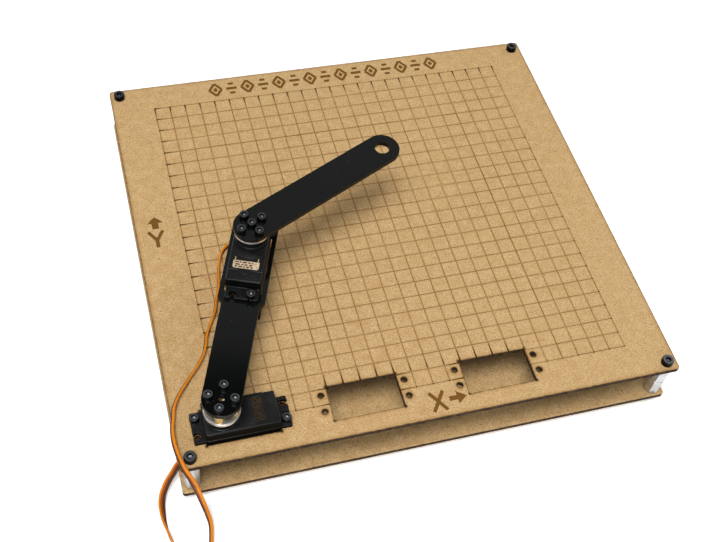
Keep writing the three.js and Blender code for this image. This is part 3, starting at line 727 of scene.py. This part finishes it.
LINE_DEPTH, LINE_HALF = 0.16, 0.2
FRAME_DEPTH, FRAME_HALF, FRAME_PLACE = 0.2, 0.3, 200.0  # the heavier square round the first 200 mm
FIRST_LINE_START = 40.0  # where the lines beside the servo set off
END_PIT, END_PIT_RADIUS = 0.42, 0.32
ENGRAVED_DEPTH = 0.22
CORNER_RADIUS = 1.8
STROKE, BORDER_STROKE = 2.1, 1.9
BORDER_Y, BORDER_START, BORDER_STEP, BORDER_COUNT = 130.9, -77.0, 11.0, 15
BORDER_HALF_WIDTH, BORDER_HALF_HEIGHT = 4.2, 5.7


def grid_lines():
    """(axis, place, start, end) of each engraved line in the board's own frame."""
    bays = [(x - BAY_WIDTH / 2, x + BAY_WIDTH / 2) for x in BAY_X]
    servo_bay_end = SERVO_BAY_X - GRID_ZERO[0] + BAY_WIDTH / 2
    bay_back = BAY_Y + BAY_DEPTH / 2
    lines = []
    for k in range(GRID_CELLS + 1):
        place = GRID_STEP * k
        if place < bay_back:
            starts = [FIRST_LINE_START] + [b for _, b in bays]
            ends = [a for a, _ in bays] + [GRID_SPAN]
            lines += [("y", place, a, b) for a, b in zip(starts, ends)]
        else:
            lines.append(("y", place, 0.0, GRID_SPAN))
        inside = any(a < place < b for a, b in bays) or place < servo_bay_end
        lines.append(("x", place, bay_back if inside else 0.0, GRID_SPAN))
    return lines


def engraved_depth(xs, ys):
    """How deep the laser's lines are at each crossing of xs and ys, in the board's own frame."""
    x, y = np.meshgrid(xs, ys, indexing="ij")
    depth = np.zeros_like(x)
    for axis, place, start, end in grid_lines():
        across, along = (y, x) if axis == "y" else (x, y)
        heavy = place == FRAME_PLACE
        half, deep = (FRAME_HALF, FRAME_DEPTH) if heavy else (LINE_HALF, LINE_DEPTH)
        off = np.abs(across - place)
        inside = (along > start - 0.01) & (along < end + 0.01)
        if heavy:
            plain = np.where(off < LINE_HALF * 0.9, LINE_DEPTH, 0.0) * inside
            inside &= along < FRAME_PLACE + 0.01
            depth = np.maximum(depth, plain)
        profile = np.where(off < half * 0.5, deep, np.where(off < half * 1.1, deep * 0.14, 0.0))
        depth = np.maximum(depth, profile * inside)
        for end_place in (start, end):
            away = np.hypot(off, along - end_place)
            depth = np.maximum(depth, np.where(away < END_PIT_RADIUS, END_PIT, 0.0))
    return depth


def deck_solid():
    """The deck with every grid line cut into it, before its holes and letters."""
    half_x, half_y = BOARD_HALF
    profile = (-0.5, -LINE_HALF, 0.0, LINE_HALF, 0.5)
    heavy = (-0.7, -FRAME_HALF, 0.0, FRAME_HALF, 0.7)
    places = [GRID_STEP * k for k in range(GRID_CELLS + 1)]
    shared = [place + d for place in places for d in (heavy if place == FRAME_PLACE else profile)]
    xs, ys = list(shared), list(shared)
    for x, y, width, depth in bay_boxes():
        xs += [x - width - GRID_ZERO[0], x + width - GRID_ZERO[0]]
        ys += [y - depth - GRID_ZERO[1], y + depth - GRID_ZERO[1]]
    rounding = [0.0, 0.15 * CORNER_RADIUS, 0.5 * CORNER_RADIUS, CORNER_RADIUS]
    xs += [s * (half_x - r) - GRID_ZERO[0] for s in (-1, 1) for r in rounding]
    ys += [s * (half_y - r) - GRID_ZERO[1] for s in (-1, 1) for r in rounding]
    xs, ys = (np.unique(np.round(v, 4)) for v in (xs, ys))
    depth = engraved_depth(xs, ys)
    mesh = bmesh.new()
    grid = {}
    inner = (half_x - CORNER_RADIUS, half_y - CORNER_RADIUS)
    for i, x in enumerate(xs):
        for j, y in enumerate(ys):
            px, py = x + GRID_ZERO[0], y + GRID_ZERO[1]
            dx, dy = abs(px) - inner[0], abs(py) - inner[1]
            if dx > 0 and dy > 0:
                reach = max(dx, dy) / hypot(dx, dy)
                px = copysign(inner[0] + dx * reach, px)
                py = copysign(inner[1] + dy * reach, py)
            grid[i, j] = mesh.verts.new((px, py, DECK_Z - depth[i, j]))
    for i in range(len(xs) - 1):
        for j in range(len(ys) - 1):
            cx = (xs[i] + xs[i + 1]) / 2 + GRID_ZERO[0]
            cy = (ys[j] + ys[j + 1]) / 2 + GRID_ZERO[1]
            if not any(abs(cx - x) < w and abs(cy - y) < d for x, y, w, d in bay_boxes()):
                mesh.faces.new((grid[i, j], grid[i + 1, j], grid[i + 1, j + 1], grid[i, j + 1]))
    for vert in [v for v in mesh.verts if not v.link_faces]:
        mesh.verts.remove(vert)
    rim = [e for e in mesh.edges if e.is_boundary]
    made = bmesh.ops.extrude_edge_only(mesh, edges=rim)["geom"]
    for vert in (g for g in made if isinstance(g, bmesh.types.BMVert)):
        vert.co.z = DECK_UNDERSIDE_Z
    lower_rim = [g for g in made if isinstance(g, bmesh.types.BMEdge)]
    bmesh.ops.triangle_fill(mesh, edges=lower_rim, use_beauty=False)
    bmesh.ops.recalc_face_normals(mesh, faces=mesh.faces)
    return mesh


def bar(a, b, width):
    """A straight stroke from a to b."""
    a, b = Vector(a), Vector(b)
    along = (b - a).normalized()
    side = Vector((along.y, -along.x)) * width / 2
    return [tuple(a + side), tuple(b + side), tuple(b - side), tuple(a - side)]


def lozenge(x, y, half_width, half_height):
    return [(x - half_width, y), (x, y - half_height), (x + half_width, y), (x, y + half_height)]


def engraved_marks():
    """Outlines of the axis letters, their arrows and the plain border along the back edge."""
    marks = [bar((-4.4, -124.9), (3.6, -137.1), STROKE), bar((3.9, -124.9), (-4.5, -137.1), STROKE)]
    head = [(11.0, -134.9), (16.7, -130.7), (11.0, -126.7)]
    marks.append([(6.3, -132.2), (11.0, -132.2), *head, (11.0, -129.3), (6.3, -129.3)])
    marks += [bar((x, 18.6), (-135.1, 11.6), STROKE) for x in (-139.6, -130.7)]
    marks.append(bar((-135.1, 12.2), (-135.1, 6.2), 2.3))
    head = [(-129.5, 24.8), (-134.4, 29.7), (-139.4, 24.8)]
    marks.append([(-136.7, 20.4), (-132.6, 20.4), (-132.6, 24.8), *head, (-136.7, 24.8)])
    for k in range(BORDER_COUNT):
        x = BORDER_START + BORDER_STEP * k
        if k % 2:
            marks.append(box_outline(x - 3.6, x + 3.6, BORDER_Y - 1.1, BORDER_Y + 1.1))
            for y in (BORDER_Y - 4.3, BORDER_Y + 4.3):
                marks.append(box_outline(x - 1.8, x + 1.8, y - 1.0, y + 1.0))
            continue
        for side in (1, -1):
            tip = (x, BORDER_Y + side * BORDER_HALF_HEIGHT)
            marks.append(bar((x - BORDER_HALF_WIDTH, BORDER_Y), tip, BORDER_STROKE))
            marks.append(bar(tip, (x + BORDER_HALF_WIDTH, BORDER_Y), BORDER_STROKE))
        marks.append(lozenge(x, BORDER_Y, 1.7, 2.3))
    return marks


def subtract(mesh, solids):
    """mesh with each of the solids cut away in turn."""
    target = add_object("cut_target", mesh)
    cutters = []
    for number, (points, faces) in enumerate(solids):
        cutter_mesh = bpy.data.meshes.new(f"cutter_{number}")
        cutter_mesh.from_pydata([Vector(p) * MM for p in points], [], faces)
        cutter = add_object(f"cutter_{number}", cutter_mesh)
        modifier = target.modifiers.new("cut", "BOOLEAN")
        modifier.operation, modifier.solver, modifier.object = "DIFFERENCE", "EXACT", cutter
        cutters.append(cutter)
    bpy.context.view_layer.update()
    done = bpy.data.meshes.new_from_object(target.evaluated_get(bpy.context.evaluated_depsgraph_get()))
    for each in [target, *cutters]:
        bpy.data.objects.remove(each)
    return done


def make_deck():
    plain = bmesh_to_mesh(deck_solid(), "deck")
    drills = [prism(circle(SCREW_HOLE_RADIUS, 28, x, y), 33, 39) for x, y in bay_holes()]
    groups = [[], [], []]  # strokes that overlap are cut one after another
    for number, outline in enumerate(engraved_marks()):
        solid = prism(counter_clockwise(outline), DECK_Z - ENGRAVED_DEPTH, DECK_Z + 1)
        groups[number % len(groups)].append(solid)
    cut = subtract(plain, [combine(*group) for group in (drills, *groups)])
    cut.materials.clear()
    cut.materials.append(DECK)
    deck = add_object("engraved_deck", cut)
    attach(deck, "base")
    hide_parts("top_plate")


def bmesh_to_mesh(source, name):
    mesh = bpy.data.meshes.new(name)
    for vert in source.verts:
        vert.co *= MM
    source.to_mesh(mesh)
    source.free()
    return mesh


make_deck()

# ---- screws, nuts and posts ----


def hexagon(across_flats, turn=0.0, lift=0.0, count=48):
    """A hexagon's outline with its corners cut back by lift, as a ring of count points."""
    ring = []
    for i in range(count):
        angle = 2 * pi * i / count
        within = (angle - turn) % (pi / 3) - pi / 6
        radius = min(across_flats / 2 / cos(within), across_flats / sqrt(3) - lift)
        ring.append((radius * cos(angle), radius * sin(angle)))
    return ring


def stacked(levels, capped=True):
    """Walls between outlines, each at its own height."""
    return stack([[(x, y, z) for x, y in outline] for outline, z in levels], capped)


def node_place(name):
    """The middle of a CAD node in plan, then its lowest and highest z."""
    low, high = (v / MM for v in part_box(name))
    return (low.x + high.x) / 2, (low.y + high.y) / 2, low.z, high.z


THREAD_PITCH, THREAD_DEPTH, KNURL = 0.5, 0.18, 0.028
# head radius, head height, socket across flats, shank radius
SCREW_SIZES = {
    "corner": (3.5, 4.0, 3.0, 2.0),
    "small": (2.75, 3.0, 2.5, 1.5),
    "shaft": (2.75, 3.0, 2.5, 1.25),
}


def cap_screw(head_radius, head_height, socket, shank_radius, length):
    """A socket head cap screw: threaded shank, knurled head, broken edge, hexagonal socket."""
    levels = []
    z, crest = -length, False
    while z < -0.3:
        levels.append((circle(shank_radius - (0 if crest else THREAD_DEPTH)), z))
        z, crest = z + THREAD_PITCH / 2, not crest
    shrink = [1 - KNURL * (i % 2) for i in range(48)]
    knurl = [(x * k, y * k) for (x, y), k in zip(circle(head_radius), shrink)]
    floor = head_height * 0.42
    levels += [
        (circle(shank_radius), -0.02),
        (circle(head_radius - 0.2), 0.0),
        (circle(head_radius - 0.05), 0.18),
        (knurl, 0.3),
        (knurl, head_height - 0.62),
        (circle(head_radius - 0.07), head_height - 0.5),
        (circle(head_radius - 0.12), head_height - 0.32),
        (circle(head_radius - 0.42), head_height),
        (hexagon(socket * 1.14), head_height),
        (hexagon(socket), head_height - 0.2),
        (hexagon(socket), floor),
        (circle(0.35), floor - 0.35),
    ]
    return stacked(levels)


def make_screws():
    for name, node in list(nodes.items()):
        if "screw" not in name:
            continue
        corner = name.startswith(("deck_screw", "foot_screw"))
        kind = "corner" if corner else "shaft" if "horn_screw" in name else "small"
        head_height = SCREW_SIZES[kind][1]
        x, y, low, high = node_place(name)
        solid = cap_screw(*SCREW_SIZES[kind], high - low - head_height)
        if name.startswith("foot"):
            place = place_at(x, y, low + head_height) @ Matrix.Rotation(pi, 4, "X")
        else:
            turn = radians(sum(map(ord, name)) % 60)
            place = place_at(x, y, high - head_height, turn)
        make_piece(f"{name}_detail", solid, OXIDE_PAINTED_SHEEN, node["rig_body"], place, "black_screw", [name], smooth=32)


POST_FLATS, POST_BORE, POST_TURN = 8, 2.05, radians(105)
SPACER_FLATS, SPACER_BORE, SPACER_TURN = 5.2, 1.6, radians(98) + SHOULDER_HEADING
NUT_FLATS, NUT_HEIGHT, NUT_BORE, NUT_GAP = 5.5, 2.4, 1.52, 0.02


def hex_post(across_flats, z0, z1, turn, bore, seam=None):
    """A hexagonal post with chamfered ends and, on a joined pair, a seam."""
    cut = across_flats * 0.06
    full, cut_back = hexagon(across_flats, turn), hexagon(across_flats, turn, cut * 1.6)
    inner = circle(bore)
    levels = [(inner, z0 + 2), (inner, z0), (cut_back, z0), (full, z0 + cut)]
    if seam:
        levels += [(full, seam - 0.3), (cut_back, seam - 0.04)]
        levels += [(cut_back, seam + 0.04), (full, seam + 0.3)]
    levels += [(full, z1 - cut), (cut_back, z1), (inner, z1), (inner, z1 - 2)]
    return stacked(levels)


def make_posts():
    for name in list(nodes):
        if name.startswith("standoff"):
            x, y, low, high = node_place(name)
            solid = hex_post(POST_FLATS, low, high, POST_TURN, POST_BORE, (low + high) / 2)
            looks = (POST_ALUMINIUM, "base", place_at(x, y), "aluminium")
        elif "spacer" in name:
            x, y, _, high = node_place(name)
            solid = hex_post(SPACER_FLATS, DECK_Z + HORN_TOP_Z, high, SPACER_TURN, SPACER_BORE)
            looks = (BRASS, "upper_arm", place_at(x, y), "brass")
        else:
            continue
        make_piece(f"{name}_detail", solid, *looks, [name], smooth=25)


def nut():
    full, cut_back = hexagon(NUT_FLATS), hexagon(NUT_FLATS, lift=NUT_FLATS * 0.07)
    levels = [(cut_back, 0), (full, 0.3), (full, NUT_HEIGHT - 0.3), (cut_back, NUT_HEIGHT)]
    levels += [(circle(NUT_BORE), NUT_HEIGHT), (circle(NUT_BORE), 0), levels[0]]
    return stacked(levels, capped=False)


def make_nuts():
    """The nuts under the ear screws, below the sheet that carries each servo."""
    elbow_sheet_z = LINK_1_TOP_Z - SHEET
    for prefix, body, under in (
        ("shoulder_servo", "base", DECK_UNDERSIDE_Z),
        ("elbow_servo", "upper_arm", elbow_sheet_z),
    ):
        for number in (1, 2):
            x, y, _, _ = node_place(f"{prefix}_ear_screw_{number}")
            place = place_at(x, y, under - NUT_HEIGHT - NUT_GAP)
            name = f"{prefix}_ear_nut_{number}"
            make_piece(name, nut(), OXIDE_PAINTED_SHEEN, body, place, "black_screw", smooth=25)


make_screws()
make_posts()
make_nuts()

# ---- servos ----

# Lengths from the shaft's axis, heights from the ears' underside.
FRONT_X, REAR_X, HALF_WIDTH, CORNER = -10.1, 30.3, 9.9, 0.9
CASE_BOTTOM_Z, CASE_SEAM_Z, CASE_SHOULDER_Z, CASE_TOP_Z = -27.0, -19.6, 3.2, 10.1
EAR_FRONT_X, EAR_REAR_X, EAR_HALF, EAR_CUT = -16.7, 37.0, 9.3, 0.6
EAR_HOLE_X, EAR_HOLE_RADIUS, EAR_SLOT = (-14.4, 34.4), 2.1, 1.2
PLATEAU_X, BUMP_X, BUMP_RADIUS, STEP_RADIUS = 23.6, 22.0, 4.4, 15.2
BASE_SCREW_INSET, BASE_SCREW_Y = 2.3, 7.6


def ear_outline():
    """The mounting ears' outline, with the open slots at both ends."""
    side = degrees(asin(EAR_SLOT / EAR_HOLE_RADIUS))
    front, rear = EAR_HOLE_X
    outline = [(EAR_REAR_X - EAR_CUT, -EAR_HALF), (EAR_REAR_X, EAR_CUT - EAR_HALF)]
    for y in (-EAR_HOLE_Y, EAR_HOLE_Y):
        outline.append((EAR_REAR_X, y - EAR_SLOT))
        outline += arc(rear, y, EAR_HOLE_RADIUS, -side, side - 360, 16)
        outline.append((EAR_REAR_X, y + EAR_SLOT))
    outline += [(EAR_REAR_X, EAR_HALF - EAR_CUT), (EAR_REAR_X - EAR_CUT, EAR_HALF)]
    outline += [(EAR_FRONT_X + EAR_CUT, EAR_HALF), (EAR_FRONT_X, EAR_HALF - EAR_CUT)]
    for y in (EAR_HOLE_Y, -EAR_HOLE_Y):
        outline.append((EAR_FRONT_X, y + EAR_SLOT))
        outline += arc(front, y, EAR_HOLE_RADIUS, 180 - side, side - 180, 16)
        outline.append((EAR_FRONT_X, y - EAR_SLOT))
    return [*outline, (EAR_FRONT_X, EAR_CUT - EAR_HALF), (EAR_FRONT_X + EAR_CUT, -EAR_HALF)]


def ear_rim(x, y):
    """The raised rim round an ear hole, open where the slot is."""
    start = 40 if x > 0 else -140
    return arc(x, y, 2.85, start, start + 280, 18) + arc(x, y, 2.15, start + 280, start, 18)


def case_outline():
    return box_outline(FRONT_X, REAR_X, -HALF_WIDTH, HALF_WIDTH, CORNER)


def upper_case():
    """The top cover: body, plateau, round step, label frame, boss and shaft, from the lowest up."""
    bump = degrees(acos((PLATEAU_X - BUMP_X) / BUMP_RADIUS))
    plateau = [(FRONT_X, -HALF_WIDTH), (PLATEAU_X, -HALF_WIDTH)]
    plateau += arc(BUMP_X, 0, BUMP_RADIUS, -bump, bump, 14)
    plateau += [(PLATEAU_X, HALF_WIDTH), (FRONT_X, HALF_WIDTH)]
    edge = degrees(asin(HALF_WIDTH / STEP_RADIUS))
    step = [(FRONT_X, -HALF_WIDTH), *arc(0, 0, STEP_RADIUS, -edge, edge, 24), (FRONT_X, HALF_WIDTH)]
    label_opening = box_outline(13.6, 22.45, -7.4, 7.4, 0.8)
    return combine(
        prism(case_outline(), CASE_SHOULDER_Z, CASE_TOP_Z, chamfer=0.45),
        prism(inset(plateau, 0.02), 9.9, 10.7, chamfer=0.3),
        prism(inset(step, 0.05), 10.4, 11.2, chamfer=0.3),
        prism(box_outline(12.9, 23.1, -8.0, 8.0, 1.0), 10.6, 11.0, [label_opening], 0.12),
        prism(circle(9.6, 56), 11.0, 12.2, chamfer=0.35),
        prism(circle(5.0, 40), 12.0, 13.0, chamfer=0.15),
        prism(circle(2.6, 30), 12.8, 16.2, chamfer=0.1),
    )


def middle_case():
    rib_ends = ((EAR_FRONT_X + 1.0, FRONT_X + 0.2), (REAR_X - 0.2, EAR_REAR_X - 1.0))
    ribs = [prism(box_outline(a, b, -0.5, 0.5), 2.3, 3.1, chamfer=0.1) for a, b in rib_ends]
    hole_places = [(x, y) for x in EAR_HOLE_X for y in (-EAR_HOLE_Y, EAR_HOLE_Y)]
    rims = [prism(ear_rim(x, y), 2.4, 2.75, chamfer=0.08) for x, y in hole_places]
    return combine(
        prism(case_outline(), CASE_SEAM_Z, CASE_SHOULDER_Z, chamfer=0.22),
        prism(ear_outline(), 0.0, 2.5, chamfer=0.18),
        *ribs,
        *rims,
    )


def lower_case():
    return combine(
        prism(case_outline(), CASE_BOTTOM_Z, CASE_SEAM_Z, chamfer=0.25),
        prism(box_outline(FRONT_X - 1.5, FRONT_X + 0.5, -2.7, 2.7, 0.4, 2), -24.6, -20.4, chamfer=0.3),
    )


def base_screws():
    """The heads of the four long case screws, let into the underside."""
    solids = []
    for x in (FRONT_X + BASE_SCREW_INSET, REAR_X - BASE_SCREW_INSET):
        for y in (-BASE_SCREW_Y, BASE_SCREW_Y):
            profile = ((0.9, -0.28), (1.55, -0.12), (1.65, 0.1))
            solids.append(stacked([(circle(r, 24, x, y), CASE_BOTTOM_Z + z) for r, z in profile]))
    return combine(*solids)


LABEL_Z, LABEL_REAR_X, LABEL_SPLIT_X, LABEL_HALF = 10.68, 22.4, 17.2, 7.3
LABEL_ARC, LABEL_CUT = 15.6, 0.9
# x of each row of print, and the lengths of its bars
PRINT_ROWS = (
    (18.3, (1.6, 0.9, 2.3, 1.2, 0.8)),
    (19.9, (2.6, 1.1, 1.7, 2.0)),
    (21.3, (1.2, 2.1, 0.9, 1.5, 1.3)),
)


def label_solids():
    """The label's solids, each with its material: 0 for foil, 1 for black."""
    edge = degrees(asin(LABEL_HALF / LABEL_ARC))
    start = LABEL_ARC * cos(radians(edge))
    split = [(LABEL_SPLIT_X, -LABEL_HALF), (LABEL_SPLIT_X, LABEL_HALF)]
    band = [*arc(0, 0, LABEL_ARC, edge, -edge, 12), *split]
    rear = [(LABEL_REAR_X - LABEL_CUT, -LABEL_HALF), (LABEL_REAR_X, LABEL_CUT - LABEL_HALF)]
    foil = [*reversed(split), *rear, *[(x, -y) for x, y in reversed(rear)]]
    sheets = [(foil, 0), (band, 1)]
    for side in (1, -1):
        near, far = side * 6.6, side * 6.2
        sheets.append(([(start + 0.9, near), (16.9, near), (16.9, far), (start + 1.1, far)], 0))
    for x, widths in PRINT_ROWS:
        y = -6.0
        for width in widths:
            sheets.append((box_outline(x - 0.42, x + 0.42, y, y + width), 1))
            y += width + 0.75
    solids = []
    for number, (outline, material) in enumerate(sheets):
        low, high, chamfer = (0.0, 0.14, 0.03) if number < 2 else (0.1, 0.17, 0.0)
        solid = prism(counter_clockwise(outline), LABEL_Z + low, LABEL_Z + high, chamfer=chamfer)
        solids.append((solid, material))
    return solids


SERVO_PLACES = {
    "shoulder_servo": ("base", place_at(*SHOULDER, DECK_Z)),
    "elbow_servo": ("upper_arm", place_at(*ELBOW, LINK_1_TOP_Z, SHOULDER_HEADING + pi)),
}


def make_servo(prefix):
    body, place = SERVO_PLACES[prefix]
    for part, solid in (("top", upper_case()), ("middle", middle_case()), ("bottom", lower_case())):
        name, replaced = f"{prefix}_shell_{part}", f"{prefix}_case_{part}"
        make_piece(name, solid, CASE, body, place, "servo_case", [replaced], smooth=28)
    make_piece(f"{prefix}_base_screws", base_screws(), ZINC, body, place, "steel", smooth=40)
    labels = label_solids()
    solid = combine(*[s for s, _ in labels])
    numbers = [number for (_, faces), number in labels for _ in faces]
    # Both servos carry the same gold label; the shoulder servo's gets the dark copy as painted shade.
    foil = DARK_FOIL_PAINTED_SHADE if prefix == "shoulder_servo" else BRIGHT_FOIL
    make_piece(f"{prefix}_label", solid, ([foil, BLACK_PRINT], numbers), body, place)


HORN_RADIUS, HORN_HUB_RADIUS, HORN_HUB_DEPTH = 10, 4.6, 3.2
HORN_HOLE_RADIUS, HORN_HOLE_OFFSETS = 0.9, (-3.6, 3.6)


def make_horn(name, body, place):
    offsets = HORN_HOLE_OFFSETS
    holes = [circle(HORN_HOLE_RADIUS, 20, x, y) for x in offsets for y in offsets]
    disc = prism(circle(HORN_RADIUS, 72), HORN_DISC_Z, HORN_TOP_Z, holes, chamfer=0.3)
    hub_z = HORN_DISC_Z - HORN_HUB_DEPTH
    hub = prism(circle(HORN_HUB_RADIUS, 48), hub_z, HORN_DISC_Z + 0.1, chamfer=0.25)
    replaced = name.replace("_disc", "")
    make_piece(name, combine(disc, hub), ALUMINIUM, body, place, "aluminium", [replaced], smooth=28)


for servo_name in SERVO_PLACES:
    make_servo(servo_name)
make_horn("shoulder_horn_disc", "upper_arm", place_at(*SHOULDER, DECK_Z, SHOULDER_HEADING))
make_horn("elbow_horn_disc", "forearm", place_at(*ELBOW, LINK_1_TOP_Z, SHOULDER_HEADING + ELBOW_BEND))

# ---- links ----

LINK_1_LENGTH, LINK_1_HALF = 98.4, 10.6
FRAME_HALF_WIDTH, FRAME_NEAR_X, FRAME_FAR_X, FRAME_CHAMFER = 13.3, 59.6, 118.0, 2.9
WINDOW_GAP, WINDOW_HALF_WIDTH, LINK_HOLE_RADIUS = 0.5, 10.75, 1.8
LINK_2_LENGTH, LINK_2_HALF, PEN_HOLE_RADIUS = 97.7, 10.45, 4.45


def make_links():
    slope = FRAME_HALF_WIDTH - LINK_1_HALF
    outline = [
        *arc(0, 0, LINK_1_HALF, 90, 270, 40),
        (FRAME_NEAR_X, -LINK_1_HALF),
        (FRAME_NEAR_X + slope, -FRAME_HALF_WIDTH),
        (FRAME_FAR_X - FRAME_CHAMFER, -FRAME_HALF_WIDTH),
        (FRAME_FAR_X, -FRAME_HALF_WIDTH + FRAME_CHAMFER),
        (FRAME_FAR_X, FRAME_HALF_WIDTH - FRAME_CHAMFER),
        (FRAME_FAR_X - FRAME_CHAMFER, FRAME_HALF_WIDTH),
        (FRAME_NEAR_X + slope, FRAME_HALF_WIDTH),
        (FRAME_NEAR_X, LINK_1_HALF),
    ]
    near, far = LINK_1_LENGTH - REAR_X - WINDOW_GAP, LINK_1_LENGTH - FRONT_X + WINDOW_GAP
    window = box_outline(near, far, -WINDOW_HALF_WIDTH, WINDOW_HALF_WIDTH)
    centres = [(0, 0)] + [(LINK_1_LENGTH - x, s * EAR_HOLE_Y) for x in EAR_HOLE_X for s in (-1, 1)]
    holes = [circle(LINK_HOLE_RADIUS, 24, x, y) for x, y in centres]
    solid = prism(outline, LINK_1_RISE - SHEET, LINK_1_RISE, [window, *holes], chamfer=0.12)
    place = place_at(*SHOULDER, DECK_Z, SHOULDER_HEADING)
    look = (ACRYLIC, "upper_arm", place, "black_acrylic")
    make_piece("link_1_sheet", solid, *look, ["link_1_plate"], smooth=28)

    outline = arc(0, 0, LINK_2_HALF, 90, 270, 40) + arc(LINK_2_LENGTH, 0, LINK_2_HALF, -90, 90, 40)
    pen_hole = circle(PEN_HOLE_RADIUS, 48, LINK_2_LENGTH)
    solid = prism(outline, HORN_TOP_Z, HORN_TOP_Z + SHEET, [pen_hole], chamfer=0.12)
    place = place_at(*ELBOW, LINK_1_TOP_Z, SHOULDER_HEADING + ELBOW_BEND)
    look = (ACRYLIC, "forearm", place, "black_acrylic")
    make_piece("link_2_sheet", solid, *look, ["link_2_plate"], smooth=28)


make_links()

# ---- finishes of the nodes that stay ----

NODE_FINISHES = {
    "bottom_plate": FIBREBOARD,
    "motor_pinion": BRASS,
    "idler_gear": BRASS,
    "motor": STEEL,
    "output_shaft": STEEL,
    "potentiometer": HOUSING,
    "control_board": BOARD_GREEN,
}
for name, node in nodes.items():
    for ending, material in NODE_FINISHES.items():
        if name.endswith(ending):
            node.data.materials.clear()
            node.data.materials.append(material)
            break

# ---- floor and light ----


FLOOR_HALF, FLOOR_Z = 4.0, -0.0003  # metres
STUDIO_AIM = (-0.02, -0.02, 0.04)


def make_floor():
    mesh = bpy.data.meshes.new("floor")
    corners = [(x * FLOOR_HALF, y * FLOOR_HALF, 0) for x, y in ((-1, -1), (1, -1), (1, 1), (-1, 1))]
    mesh.from_pydata(corners, [], [(0, 1, 2, 3)])
    glow = {"Emission_Color": (1, 1, 1, 1), "Emission_Strength": 0.25}
    graph = Graph("floor_paper", Specular_IOR_Level=0.1, **glow)
    tone = graph.mix(graph.noise(3, 2), "f4f4f4", "fafafa")
    mesh.materials.append(graph.finish(tone, 0.9))
    floor = add_object("floor", mesh)
    floor.location.z = FLOOR_Z


def make_light(name, place, size, power):
    """A round soft box, its place and size in metres, turned to the object."""
    data = bpy.data.lights.new(name, "AREA")
    data.shape, data.size, data.energy = "DISK", size, power
    light = add_object(name, data)
    light.location = place
    light.rotation_euler = (Vector(STUDIO_AIM) - Vector(place)).to_track_quat("-Z", "Y").to_euler()


# Brightness of the studio by height: (low z, high z, level below, level above) of a direction.
STUDIO_WALLS, STUDIO_CEILING = (0.2, 0.6, 0.42, 0.28), (0.848, 0.864, 1.0, 0.04)


def make_world():
    """Pale studio walls, darker above, so that level black surfaces stay black."""
    world = bpy.data.worlds.new("studio")
    bpy.context.scene.world = world
    world.use_nodes = True
    tree = world.node_tree
    place, split, product = (
        tree.nodes.new("ShaderNode" + kind) for kind in ("TexCoord", "SeparateXYZ", "Math")
    )
    product.operation = "MULTIPLY"
    tree.links.new(place.outputs["Generated"], split.inputs[0])
    sockets = ("From Min", "From Max", "To Min", "To Max")
    for number, values in enumerate((STUDIO_WALLS, STUDIO_CEILING)):
        ramp = tree.nodes.new("ShaderNodeMapRange")
        for socket, value in zip(sockets, values):
            ramp.inputs[socket].default_value = value
        tree.links.new(split.outputs["Z"], ramp.inputs["Value"])
        tree.links.new(ramp.outputs["Result"], product.inputs[number])
    tree.links.new(product.outputs[0], tree.nodes["Background"].inputs["Color"])


make_floor()
make_world()
make_light("key", (-0.45, -0.55, 2.1), 1.1, 44.0)
make_light("fill", (1.1, 0.5, 1.0), 0.9, 4.0)
make_light("front", (-0.7, -1.9, 0.8), 1.1, 11.0)
bpy.context.scene.view_settings.view_transform = "Standard"
